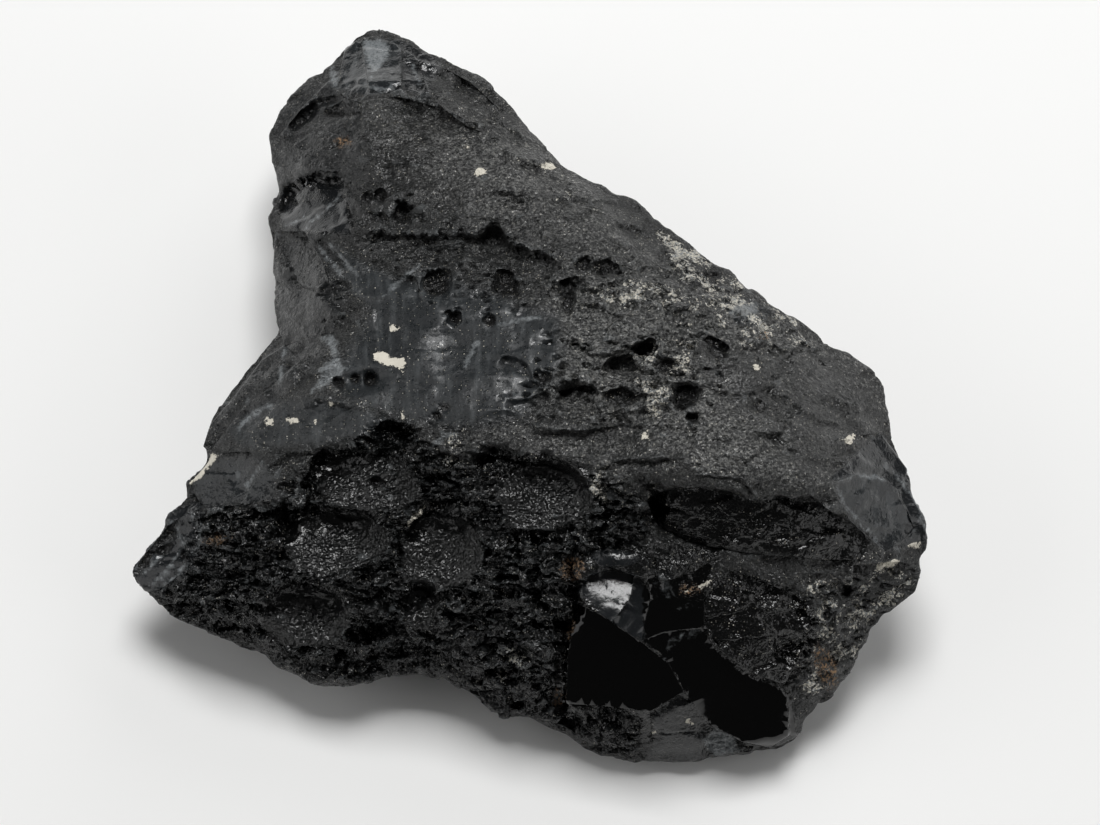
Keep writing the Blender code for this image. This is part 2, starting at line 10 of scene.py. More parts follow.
import bpy
import numpy as np
from bpy.props import FloatProperty, FloatVectorProperty, IntProperty, PointerProperty
from bpy.types import Operator, Panel, PropertyGroup
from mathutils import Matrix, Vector, noise


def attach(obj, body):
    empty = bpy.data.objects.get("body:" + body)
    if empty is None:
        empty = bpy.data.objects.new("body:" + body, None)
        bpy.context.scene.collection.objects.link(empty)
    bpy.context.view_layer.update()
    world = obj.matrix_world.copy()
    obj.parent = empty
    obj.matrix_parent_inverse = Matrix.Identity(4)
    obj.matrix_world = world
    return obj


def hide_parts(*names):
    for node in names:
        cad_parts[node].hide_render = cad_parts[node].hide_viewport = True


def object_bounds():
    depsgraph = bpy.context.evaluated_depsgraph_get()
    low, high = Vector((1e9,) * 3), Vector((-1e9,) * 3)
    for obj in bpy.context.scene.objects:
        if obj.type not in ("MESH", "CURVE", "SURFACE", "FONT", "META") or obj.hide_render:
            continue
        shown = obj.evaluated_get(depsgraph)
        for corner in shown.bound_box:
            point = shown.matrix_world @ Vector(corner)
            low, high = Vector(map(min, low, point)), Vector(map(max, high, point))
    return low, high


bl_info = {
    "name": "Obsidian chunk",
    "version": (1, 0, 0),
    "blender": (4, 5, 0),
    "location": "3D View > Sidebar > Obsidian",
    "description": "A broken lump of volcanic glass with weathered skin, fresh breaks and mineral crust",
    "category": "Object",
}

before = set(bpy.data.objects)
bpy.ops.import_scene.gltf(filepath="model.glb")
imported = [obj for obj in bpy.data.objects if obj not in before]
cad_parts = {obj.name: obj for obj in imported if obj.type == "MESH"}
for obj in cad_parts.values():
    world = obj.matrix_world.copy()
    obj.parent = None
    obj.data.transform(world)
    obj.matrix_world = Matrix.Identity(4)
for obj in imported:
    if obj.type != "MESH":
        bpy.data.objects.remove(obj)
CAD_BOX = [list(corner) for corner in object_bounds()]
NODE = "obsidian_chunk"
BODY_NAME = "root"

# The board, the sight point, and where the middle of the stone's footprint comes to lie.
MM = 0.001
SLANT = math.radians(65.0)
SINE = math.sin(SLANT)
COSINE = math.cos(SLANT)
SIGHT = 620.0
MIDDLE_HEIGHT = 24.0
CENTRE = (1.5, 0.4)
SHIFT = (3.29, -10.2)

# From the rim inward, front and back part by up to THINNEST, as fast as EDGE_GROWTH says, and the relief
# comes in over RELIEF_START.
THINNEST = 3.0
EDGE_GROWTH = 26.0
RELIEF_START = 1.0
TOP_SHARE = 0.54
RIM_SHARE = 0.6

# How blunt the tips of the sheet's cones are, and over how much reach its front turns into its back.
TIP_ROUNDING = 2.0
SIDE_BLEND = 0.5

# Broad lumps, and how far broken edges wander.
LUMP_HEIGHT = 0.35
LUMP_WIDTH = 7.0
WANDERS = ((0.55, 3.5), (0.16, 1.7))
NOISE_HARDNESS = 0.9
NOISE_STEP = 2.1
NOISE_LAYERS = 3

# Ripples on a glassy break run out from where it began.
RIPPLE_HEIGHT = 0.008
RIPPLE_SPACING = 1.3
FACET_EDGE = 0.06
FACET_KEEPS = 0.15
FACET_MARGIN = 1.0
SCOOP_LIMIT = -0.5

# How many times its own width each kind of relief reaches, how much of a step's lip lies on its high side,
# the share of a path that fades at each end, and how steep the scars on the back are.
LEDGE_REACH = 2.5
CRACK_REACH = 3.0
CREST_REACH = 5.0
LOBE_REACH = 3.0
LIP_BEFORE = 0.3
END_FADE = 0.15
SCAR_STEEPNESS = 0.7

# How far small bites are taken from the rim, how wide they are, how much of the roughness the rim keeps,
# and how far inward all of it is back.
RIM_NICK = 0.45
RIM_NICK_WIDTH = 3.0
RIM_KEEPS = 0.3
RIM_CALM = 5.0

# Flow layers are this much thinner than they are wide. Each small break stands at a height mixed from its
# three random numbers in these shares.
LAYER_SQUEEZE = 1.2
LEVEL_MIX = (1.0, 0.6, 0.4)

# Layers are made ragged by moving their places this far, in clouds this wide, both in metres.
LAYER_SHAKE = 0.0024
LAYER_SHAKE_WIDTH = 0.0022

# Roughness starts this far above the ground, and edges are sharp where faces turn by more than this.
FLOOR_CLEAR = 0.4
SHARP_EDGE = math.radians(38.0)

# Flow bands in worn glass are narrow across and long up the stone.
STREAK_SQUEEZE = (1.6, 0.35, 0.35)

# How wide the walls round the flat breaks come out, how wide they are drawn in to, how far from an edge
# places are moved, and the small step that tells which way a wall faces.
WALL = 0.55
WALL_DRAWN = 0.06
WALL_MARGIN = 1.5
TINY = 0.01

# Numbers this close count as equal, and lines that cross less than this as parallel.
NEARLY = 1e-6
PARALLEL = 1e-9

# Widths of the patterns in the finish, in millimetres. Dust and grit are really near 0.1 mm, too fine to
# show, so they are drawn this coarse.
DUST_WIDTH = 0.34
GRIT_WIDTH = 0.32
SPECK_WIDTH = 0.5
RAGGED_WIDTH = 1.1
CLUMP_WIDTH = 3.0
PATCH_WIDTH = 3.2
BROAD_WIDTH = 14.0
STREAK_WIDTH = 2.2

# Widths and heights of the relief in the finish, in millimetres. Grain and swells are the worn skin's, dots
# are pinholes, shards and flakes are small breaks, which also lean, and crinkles line the bubble bowls.
SHAKE_WIDTH = 0.9
GRAIN_WIDTH = 0.42
GRAIN_HEIGHT = 0.36
SWELL_WIDTH = 2.4
SWELL_HEIGHT = 0.9
DOT_WIDTH = 1.3
DOT_DEPTH = 0.4
SHARD_WIDTH = 0.5
SHARD_HEIGHT = 0.15
SHARD_LEAN = 1.0
FLAKE_WIDTH = 1.7
FLAKE_HEIGHT = 0.5
FLAKE_LEAN = 1.8
CRINKLE_WIDTH = 0.95
CRINKLE_HEIGHT = 0.85
MINERAL_HEIGHT = 0.14

# Refractive index of obsidian.
OBSIDIAN_IOR = 1.5

# The stage, in metres and watts: the floor's size, soft lights, an almost dark sky, and the camera.
FLOOR_SIZE = 4.0
KEY = {"place": (0.04, 0.26, 0.9), "size": 0.40, "power": 7.0}
FILL = {"place": (-0.85, -0.05, 0.42), "size": 0.9, "power": 2.6}
BACK_FILL = {"place": (0.6, 0.8, 0.6), "size": 0.8, "power": 3.4}
FRONT_FILL = {"place": (1.0, -0.3, 0.4), "size": 0.8, "power": 2.4}
SKY_COLOUR = "#ffffff"
SKY_STRENGTH = 0.05
CAMERA_SENSOR = 36.0

# Rim of the stone, clockwise from the peak: across, up and height above the ground.
OUTLINE = (
    (-26.1, 57.8, 20), (-22.9, 56.9, 21), (-21.1, 56.2, 22), (-19.1, 54.8, 23), (-16.5, 53.5, 24),
    (-13.8, 52.4, 25), (-10.9, 51.2, 25.5), (-9.3, 50.0, 26), (-7.3, 47.8, 27), (-5.2, 45.4, 28),
    (-2.9, 42.5, 29), (-1.1, 40.7, 30), (0.8, 38.9, 30.5), (2.7, 36.8, 31), (5.1, 35.5, 31.5),
    (7.5, 34.3, 32), (10.8, 32.9, 32.5), (13.7, 31.4, 33), (15.8, 29.6, 33), (17.7, 28.0, 33),
    (22.3, 24.5, 33), (27.0, 21.5, 33), (30.3, 18.5, 32.5), (33.8, 16.0, 32), (38.4, 13.7, 31),
    (40.5, 11.9, 30.5), (41.9, 10.3, 30), (45.3, 9.1, 29), (48.8, 6.2, 28), (50.1, 4.0, 27.5),
    (50.7, 1.9, 27), (51.3, -1.3, 26.5), (51.4, -3.8, 26), (52.9, -7.1, 25.5), (54.1, -9.5, 25),
    (54.6, -11.9, 24.5), (55.5, -14.2, 24), (56.7, -16.6, 23), (57.3, -18.8, 22), (57.0, -20.6, 21),
    (55.9, -21.8, 20), (55.6, -24.2, 19), (54.6, -26.9, 17), (51.4, -29.9, 15), (48.3, -32.6, 13),
    (47.7, -34.9, 12), (45.8, -37.3, 11), (44.9, -39.8, 10), (42.9, -42.5, 9), (40.5, -44.3, 8),
    (38.7, -46.4, 7), (37.2, -49.4, 5), (34.8, -50.9, 4), (31.2, -51.2, 3.7), (28.8, -51.8, 3.5),
    (25.5, -52.0, 3.2), (22.6, -52.7, 3), (19.5, -52.6, 3), (16.3, -52.3, 3), (12.6, -52.9, 3),
    (9.8, -52.4, 3), (6.9, -51.7, 3.5), (4.5, -50.2, 4), (2.2, -48.5, 5), (-0.6, -47.5, 5.5),
    (-3.0, -46.3, 6), (-5.8, -46.0, 6.5), (-8.1, -45.5, 7), (-9.9, -44.0, 7.5), (-12.0, -42.5, 8),
    (-15.9, -40.6, 9), (-19.6, -39.8, 9.5), (-22.5, -39.8, 9.5), (-25.3, -40.1, 9.5),
    (-27.8, -41.0, 9.3), (-30.4, -41.5, 9), (-33.0, -41.6, 9), (-36.4, -40.9, 9), (-39.0, -39.5, 9),
    (-41.7, -38.0, 9), (-44.1, -36.2, 9.5), (-46.5, -35.2, 10), (-50.2, -34.0, 10.5),
    (-53.1, -32.8, 11), (-56.2, -31.4, 11), (-58.2, -30.1, 11), (-58.9, -28.6, 12),
    (-60.8, -27.1, 12.5), (-62.7, -25.6, 13), (-63.3, -23.8, 14), (-61.9, -21.8, 15),
    (-60.0, -19.6, 16), (-58.5, -17.6, 17), (-58.0, -15.8, 18), (-56.7, -14.2, 18.5),
    (-54.9, -12.8, 19), (-55.0, -10.9, 20), (-54.0, -9.7, 20), (-51.6, -7.4, 20), (-51.9, -5.3, 20),
    (-51.6, -2.6, 20), (-51.0, -0.7, 20), (-49.6, 1.4, 20), (-48.0, 3.1, 20), (-46.6, 5.2, 20),
    (-44.9, 7.4, 20), (-42.9, 9.7, 19.5), (-41.2, 11.6, 19), (-40.9, 14.2, 19), (-41.4, 16.6, 19),
    (-41.1, 19.1, 19), (-41.5, 22.6, 19), (-41.7, 25.1, 19), (-42.3, 27.1, 19), (-42.8, 29.2, 19),
    (-41.7, 31.0, 19), (-40.8, 33.4, 19), (-41.5, 36.4, 19), (-42.1, 39.1, 19), (-42.3, 42.4, 19),
    (-41.4, 44.3, 19), (-40.2, 46.4, 19), (-38.7, 48.4, 19), (-37.0, 50.0, 19), (-35.1, 51.2, 19),
    (-33.0, 52.7, 19), (-30.8, 54.8, 19.5), (-29.5, 56.8, 20), (-27.9, 57.4, 20),
)

# Places on the side that faces the sight point: across, up and height.
BODY = (
    (14.2, -8.6, 45.5), (22.5, -9.5, 46.5), (30.1, -11.3, 45.5), (39.1, -10.7, 42.5), (44.4, -13.6, 37),
    (21.0, 1.9, 46), (10.5, -2.6, 45), (1.5, -2.6, 44), (-7.5, -4.1, 42), (-15.0, -2.6, 40),
    (-22.5, 0.4, 38.5), (-33.0, -2.6, 35), (-43.5, -4.1, 29), (-48.8, -5.6, 24), (-37.5, 4.1, 33),
    (-30.0, 12.4, 35), (-22.5, 16.9, 38), (-33.0, 21.4, 31), (-37.5, 16.9, 27), (-37.5, 25.9, 27),
    (-15.0, 10.9, 41), (-4.5, 12.4, 43), (7.5, 13.9, 45), (15.0, 18.4, 44), (22.5, 16.9, 42.5),
    (31.5, 10.9, 41.5), (40.5, 1.9, 38), (48.0, -4.1, 31), (45.0, 4.9, 32.5), (1.5, 24.4, 43),
    (-7.5, 24.4, 41), (-18.0, 24.4, 38.5), (7.5, 30.4, 39.5), (1.5, 31.9, 40), (-4.5, 37.9, 37.5),
    (-12.0, 39.4, 37), (-19.5, 43.9, 35.5), (-25.5, 46.9, 33), (-31.5, 43.9, 31), (-36.0, 40.9, 27),
    (-37.5, 34.9, 27), (-30.0, 34.9, 33), (-22.5, 34.9, 37), (-15.0, 31.9, 39), (-24.0, 52.9, 26.5),
    (-28.5, 52.9, 25), (-16.5, 49.9, 31), (-10.5, 45.4, 33), (-45.0, -13.1, 27), (-33.0, -11.6, 32),
    (-22.5, -13.1, 34), (-10.5, -13.1, 37), (1.5, -13.1, 40), (7.5, -10.1, 43), (-51.0, -19.1, 23),
    (-40.5, -22.1, 26), (-28.5, -22.1, 28), (-16.5, -22.1, 30), (-4.5, -22.1, 33), (4.5, -20.6, 35),
    (-54.0, -26.6, 17), (-43.5, -29.6, 20), (-31.5, -31.1, 21), (-19.5, -31.1, 23), (-7.5, -32.6, 24),
    (1.5, -32.6, 26), (-37.5, -36.4, 14), (-25.5, -36.4, 15), (-15.0, -37.1, 15), (-6.0, -41.6, 15),
    (0.0, -41.6, 17), (16.5, -16.1, 38), (22.5, -19.1, 34.5), (34.5, -20.6, 32.5), (43.5, -22.1, 29),
    (50.2, -25.1, 23.5), (13.5, -28.1, 30), (25.5, -31.1, 27.5), (37.5, -31.1, 24.5),
    (45.0, -31.1, 18.5), (10.5, -41.6, 19.5), (22.5, -41.6, 16.5), (34.5, -41.6, 14),
    (13.5, -48.8, 8.5), (25.5, -48.1, 8), (34.5, -46.9, 9), (42.0, -40.1, 12), (51.0, -16.1, 28),
    (46.5, -10.1, 35),
)

# Underside and back, in level world places before the shift: x, y and height. Heights below the ground are
# cut off by it.
UNDERSIDE = (
    (-22.0, 34.0, -0.5), (-10.0, 28.0, -0.5), (2.0, 18.0, -0.5), (14.0, 6.0, -0.5), (26.0, -6.0, -0.5),
    (28.0, -18.0, -0.5), (20.0, -28.0, -0.5), (6.0, -30.0, -0.5), (-8.0, -24.0, -0.5), (-22.0, -18.0, -0.5),
    (-32.0, -14.0, -0.5), (-34.0, -4.0, -0.5), (-28.0, 8.0, -0.5), (-26.0, 22.0, -0.5),
    (-10.0, 8.0, -1.5), (8.0, -10.0, -1.5), (-14.0, -6.0, -1.5), (-26.0, 44.0, 2.5), (-12.0, 40.0, 2.0),
    (4.0, 28.0, 3.0), (18.0, 14.0, 3.5), (32.0, 2.0, 3.0), (38.0, -12.0, 2.5), (36.0, -28.0, 2.0),
    (24.0, -40.0, 0.6), (6.0, -39.0, 0.8), (-8.0, -32.0, 1.6), (-26.0, -27.0, 2.5), (-42.0, -21.0, 3.0),
    (-43.0, -8.0, 3.0), (-37.0, 6.0, 2.5), (-33.0, 22.0, 2.5), (-34.0, 36.0, 3.0), (22.0, 19.0, 15.0),
    (36.0, 8.0, 17.0), (6.0, 33.0, 15.0), (-12.0, 50.0, 12.0), (50.0, -12.0, 12.0), (-39.0, 46.0, 9.0),
    (-41.0, 22.0, 10.0), (-50.0, -4.0, 10.0), (-54.0, -22.0, 7.0), (42.0, -34.0, 5.0),
)

# Flat breaks, each scooped a little: how far it is sunk, how deep it is scooped, how it climbs across and
# up, and its outline, which starts where the break began.
FACETS = (
    (0.4, 0.35, 0.2, -1.85, (
        (-28.3, 56.3), (-25.5, 56.3), (-22.9, 55.1), (-22.5, 52.9), (-22.6, 48.7), (-24.8, 47.9),
        (-27.0, 48.2), (-27.6, 51.4),
    )),
    (0.4, 0.4, 1.25, -1.65, (
        (-30.8, 54.4), (-28.5, 56.2), (-27.6, 51.4), (-27.0, 48.1), (-29.7, 47.2), (-31.8, 49.9),
    )),
    (0.8, 0.3, -0.05, -1.95, ((-22.2, 54.4), (-20.2, 53.5), (-18.3, 48.1), (-20.7, 47.6), (-22.3, 48.7))),
    (0.8, 0.5, -0.65, -1.85, (
        (-19.8, 52.9), (-16.5, 52.0), (-12.0, 49.6), (-7.8, 45.7), (-6.8, 42.7), (-12.0, 43.9),
        (-16.5, 46.6), (-18.3, 48.1),
    )),
    (0.3, 0.2, 0.05, -0.9, (
        (-27.8, 46.9), (-22.5, 47.3), (-16.5, 45.7), (-12.0, 42.7), (-7.5, 41.2), (-12.0, 37.9),
        (-18.0, 37.1), (-24.8, 37.9), (-27.3, 40.9),
    )),
    (0.2, 0.3, 1.1, -1.15, (
        (-37.5, 45.4), (-33.0, 49.9), (-30.8, 47.2), (-28.2, 46.3), (-28.2, 41.6), (-33.0, 39.4),
        (-37.5, 39.4), (-40.5, 41.6),
    )),
    (0.8, 0.6, -1.15, -0.12, (
        (42.3, -10.4), (45.3, -9.5), (49.5, -9.8), (51.9, -11.9), (53.7, -14.9), (54.6, -17.6),
        (51.8, -20.0), (50.4, -20.8), (48.0, -18.5), (45.0, -15.5), (43.2, -12.8),
    )),
    (0.3, 0.3, -1.4, -0.7, (
        (44.2, -4.1), (49.5, -2.9), (53.7, -8.6), (52.5, -11.6), (49.5, -9.8), (45.3, -9.2),
    )),
    (0.4, 0.6, 0.6, -0.3, (
        (-62.7, -23.9), (-60.0, -20.3), (-57.3, -17.0), (-54.0, -14.9), (-52.5, -16.1), (-52.5, -19.9),
        (-54.6, -23.6), (-58.5, -26.6), (-60.8, -26.9),
    )),
    (0.3, 0.4, 0.9, -0.45, (
        (-54.0, -10.9), (-50.7, -6.8), (-49.2, -6.1), (-45.0, -5.9), (-43.2, -8.6), (-46.5, -13.9),
        (-51.8, -14.3), (-52.8, -13.1),
    )),
    (0.1, 0, -0.05, -0.36, (
        (3.9, -27.2), (6.0, -24.4), (9.8, -23.9), (12.6, -24.5), (12.0, -27.8), (9.6, -31.1),
        (7.2, -29.6),
    )),
    (0, 0.2, -0.35, 0.1, (
        (12.6, -24.5), (13.5, -24.8), (15.0, -28.1), (13.5, -34.3), (9.6, -31.1), (12.0, -27.8),
    )),
    (-0.2, -0.6, 0.13, 0.42, (
        (2.7, -34.9), (3.9, -28.7), (7.5, -30.2), (13.5, -34.3), (17.7, -37.4), (20.1, -41.9),
        (15.0, -44.9), (7.5, -44.0), (2.4, -43.7),
    )),
    (0.3, -0.25, -0.02, -0.15, (
        (5.4, -20.9), (8.2, -20.3), (12.0, -20.5), (14.4, -21.8), (12.0, -23.0), (7.5, -23.2),
    )),
    (-0.4, 0.1, -0.2, -0.05, ((15.8, -22.1), (19.5, -20.9), (21.8, -22.1), (19.8, -23.9), (16.8, -25.1))),
    (0.9, 0.1, -0.08, 0.2, (
        (14.7, -23.6), (16.8, -25.4), (21.0, -24.2), (24.6, -22.1), (23.1, -26.6), (22.5, -32.3),
        (17.1, -32.9), (13.5, -34.3), (15.0, -28.1),
    )),
    (-1.1, 0.12, -0.2, 0.44, (
        (13.5, -34.3), (17.1, -32.9), (22.5, -32.3), (24.3, -35.3), (29.2, -38.9), (35.4, -41.9),
        (36.0, -48.4), (33.0, -50.3), (28.8, -49.4), (24.3, -47.0), (20.1, -41.9), (17.7, -37.4),
    )),
    (-0.4, -0.2, -0.15, 0.85, (
        (12.9, -52.1), (15.3, -48.5), (15.0, -44.9), (20.1, -41.9), (24.3, -47.0), (23.4, -49.9),
        (24.3, -51.5), (21.0, -52.4), (16.5, -52.6),
    )),
    (2.6, -0.3, 0.05, 0.35, (
        (14.4, -13.1), (17.2, -11.8), (22.9, -11.2), (27.0, -11.8), (30.1, -13.3), (36.0, -13.0),
        (36.0, -21.5), (33.0, -21.5), (26.2, -20.6), (20.6, -19.4), (16.2, -17.0),
    )),
    (2, -0.2, -0.42, 0.3, (
        (36.0, -13.0), (39.1, -12.5), (42.0, -14.8), (45.0, -16.4), (48.0, -19.9), (45.0, -22.1),
        (40.5, -22.1), (36.0, -21.5),
    )),
    (0.2, -0.3, -0.22, 0.32, (
        (23.1, -28.1), (27.0, -23.9), (31.5, -25.1), (37.5, -28.1), (39.3, -31.9), (37.5, -36.4),
        (35.2, -40.9), (30.0, -38.9), (25.5, -35.6), (23.4, -31.9),
    )),
    (0.2, 0.3, -0.7, 0.6, (
        (45.6, -22.9), (52.5, -22.4), (55.8, -23.3), (54.8, -26.9), (51.0, -29.9), (46.8, -31.1),
        (45.0, -28.1),
    )),
    (0.2, -0.4, 1.6, -0.42, (
        (-41.2, 27.1), (-36.8, 27.1), (-34.2, 22.6), (-32.2, 16.9), (-34.5, 11.6), (-39.8, 10.1),
        (-41.2, 13.9), (-41.7, 19.9),
    )),
    (0.1, -0.35, 1.3, -1.1, (
        (-52.5, -6.4), (-51.0, -1.9), (-47.2, 2.6), (-43.2, 7.9), (-39.8, 10.1), (-37.5, 7.9),
        (-42.0, 3.7), (-45.8, 1.1), (-49.2, -3.5), (-50.7, -5.3),
    )),
)

# Steps in the surface: drop, how far the drop lasts, how wide its edge is, and its path. The low side is
# on the right of the way that the path runs.
LEDGES = (
    (2.5, 3.4, 0.6, (
        (-29.5, 26.2), (-27.8, 26.6), (-25.5, 27.2), (-23.6, 26.8), (-20.2, 26.5), (-17.8, 26.0),
        (-15.8, 26.9), (-13.5, 27.1), (-11.2, 26.3), (-9.0, 27.1), (-7.5, 27.1), (-6.0, 24.4),
    )),
    (3.5, 3.6, 0.7, ((-8.4, 29.0), (-5.8, 24.5), (-3.0, 24.2), (-0.8, 23.9), (1.8, 22.6))),
    (1.8, 3, 0.4, (
        (-40.6, 31.0), (-39.9, 33.7), (-38.7, 34.9), (-36.8, 34.6), (-35.1, 35.6), (-33.3, 35.9),
        (-31.8, 35.2), (-30.8, 34.0), (-29.4, 34.9),
    )),
    (0.8, 3, 0.6, (
        (-22.5, 47.3), (-18.8, 47.0), (-16.5, 45.5), (-12.0, 42.7), (-7.5, 41.5), (-0.8, 40.0),
    )),
    (0.9, 1.6, 0.6, ((-21.0, 52.9), (-18.4, 47.9))),
    (0.8, 1.4, 0.6, ((-19.5, 52.1), (-15.4, 48.7))),
    (1.3, 1.6, 0.6, ((-9.0, 44.5), (-7.0, 43.4), (-5.7, 41.9), (-4.2, 40.7))),
    (0.8, 2.4, 1, (
        (-25.9, 36.7), (-24.8, 37.6), (-23.2, 36.7), (-21.0, 35.5), (-18.0, 34.3), (-15.0, 32.8),
        (-11.2, 31.4),
    )),
    (1.4, 2.6, 0.7, ((-41.7, 27.2), (-36.8, 27.4), (-34.8, 26.3), (-32.2, 23.5), (-29.7, 21.2))),
    (1, 2.6, 0.6, (
        (-28.5, 23.2), (-25.5, 22.7), (-22.1, 21.2), (-19.9, 19.9), (-18.9, 18.1), (-17.7, 16.4),
    )),
    (-1.2, 2.6, 0.7, (
        (-34.8, 6.7), (-37.5, 5.3), (-40.5, 3.8), (-44.2, 2.3), (-46.5, -0.2), (-49.2, -3.5),
    )),
    (1.4, 2.2, 0.6, ((-7.6, 8.6), (-6.0, 8.3), (-3.6, 7.6), (-2.5, 5.2), (-1.2, 3.4))),
    (1.4, 2.8, 0.6, (
        (-7.5, 1.1), (-3.0, 2.2), (-0.8, 2.8), (0.4, 3.4), (2.2, 4.1), (3.9, 4.7), (6.3, 2.8),
    )),
    (1.6, 3.2, 0.7, ((2.7, 11.9), (6.1, 9.1), (10.5, 9.5), (14.2, 10.3), (16.8, 9.1))),
    (1.2, 1.6, 0.6, ((0.0, 19.4), (3.8, 20.5), (6.0, 19.6))),
    (1.2, 5, 0.7, (
        (28.5, 16.6), (22.5, 17.9), (20.2, 19.0), (17.7, 20.5), (14.2, 23.5), (11.7, 25.0), (9.6, 29.6),
        (4.5, 34.9), (-0.1, 39.7),
    )),
    (0.8, 1.5, 0.6, ((13.5, 22.6), (15.3, 21.7), (18.3, 20.2), (21.0, 18.7))),
    (0.7, 2, 0.6, (
        (13.8, -9.2), (17.2, -11.3), (22.9, -10.4), (27.0, -11.3), (30.1, -12.8), (36.0, -12.5),
        (39.1, -12.1), (42.0, -14.5), (45.0, -16.0), (48.0, -19.3), (50.2, -20.8),
    )),
    (1, 2.6, 0.6, ((13.8, -13.1), (15.8, -16.4), (20.6, -18.8), (26.2, -20.2), (33.8, -21.1))),
    (1.7, 2.6, 0.6, ((13.5, -8.9), (15.3, -11.6), (16.8, -15.4))),
    (1, 3.2, 0.6, (
        (24.3, -23.9), (27.0, -22.7), (29.2, -22.9), (31.5, -24.8), (36.0, -25.9), (38.2, -27.7),
        (40.8, -29.9),
    )),
    (1.2, 1.6, 0.6, ((6.0, -19.6), (10.5, -19.1), (13.5, -18.5))),
    (-0.9, 1.8, 0.4, ((42.3, -10.4), (43.2, -12.7), (45.0, -15.4), (48.0, -18.4), (50.4, -20.6))),
    (1.2, 1.4, 0.6, ((53.1, -16.7), (56.1, -17.2), (57.6, -19.1))),
    (-1, 2, 0.6, ((36.0, -43.1), (37.5, -46.1), (37.5, -49.4))),
    (2, 3.6, 0.6, (
        (-37.8, -13.6), (-37.0, -10.4), (-35.7, -7.6), (-34.2, -6.1), (-30.8, -5.8), (-28.8, -4.4),
        (-26.6, -4.1),
    )),
    (2.2, 3.8, 0.6, (
        (-40.6, -19.9), (-40.5, -14.2), (-37.5, -13.1), (-34.2, -14.0), (-30.8, -15.4), (-25.8, -15.8),
    )),
    (2, 3.6, 0.6, (
        (-22.3, -19.9), (-21.8, -16.9), (-20.7, -14.9), (-18.8, -14.0), (-16.5, -13.4), (-13.8, -13.9),
        (-13.0, -19.1),
    )),
    (2, 3.6, 0.6, (
        (-11.1, -9.2), (-9.8, -6.5), (-8.2, -5.5), (-6.0, -5.8), (-3.0, -6.8), (0.0, -7.7), (3.0, -8.9),
        (5.7, -10.4), (6.0, -13.1),
    )),
    (2.5, 3.9, 0.6, (
        (-43.4, -30.2), (-42.0, -27.5), (-39.8, -25.9), (-37.2, -25.1), (-34.5, -26.0), (-31.8, -27.4),
        (-30.1, -29.3),
    )),
    (2.1, 3, 0.6, ((-22.8, -29.9), (-22.3, -26.6), (-20.6, -25.6), (-18.3, -26.3), (-16.9, -28.1))),
    (1.2, 1.6, 0.6, ((-18.9, -26.9), (-15.0, -26.6), (-10.5, -26.9), (-3.8, -26.6))),
    (1.2, 1.6, 0.6, ((-16.5, -29.9), (-12.0, -29.5), (-7.5, -29.6), (-4.5, -29.5))),
    (1.6, 1.8, 0.6, ((-5.2, -31.7), (-0.8, -31.1), (3.3, -30.8))),
    (1, 1.8, 0.6, ((-10.5, -33.8), (-6.0, -34.0), (-1.5, -35.6))),
    (1.3, 1.8, 0.6, ((-30.0, -33.2), (-26.7, -32.5), (-24.0, -32.9))),
    (1.4, 2.4, 0.6, ((-34.8, -36.8), (-30.0, -36.1), (-23.2, -35.3), (-17.7, -34.9), (-15.0, -35.9))),
    (1.2, 2.4, 0.7, ((-52.5, -15.2), (-48.8, -14.9), (-45.0, -14.6), (-40.5, -14.3))),
    (1.2, 2.4, 0.7, ((-55.5, -24.1), (-51.8, -23.3), (-47.2, -23.9), (-43.2, -24.7), (-40.5, -25.6))),
    (1.4, 2.2, 0.7, ((-58.5, -28.7), (-56.2, -28.1), (-52.5, -28.4))),
    (1.2, 2, 0.6, ((-54.9, -32.0), (-51.8, -31.3), (-46.5, -31.4), (-43.8, -31.1))),
    (-1.2, 1.8, 0.6, ((-54.4, -13.1), (-52.5, -14.2), (-52.0, -17.6), (-51.9, -19.1))),
    (0.9, 1.8, 0.6, ((7.5, -13.4), (10.5, -13.1), (13.8, -13.6))),
    (0.7, 1.6, 0.6, ((-6.9, -18.4), (1.5, -18.1), (3.0, -19.1))),
    (0.7, 1.6, 0.6, ((-26.2, -22.1), (-24.0, -19.9), (-21.8, -17.6), (-18.8, -13.1), (-16.5, -11.0))),
)

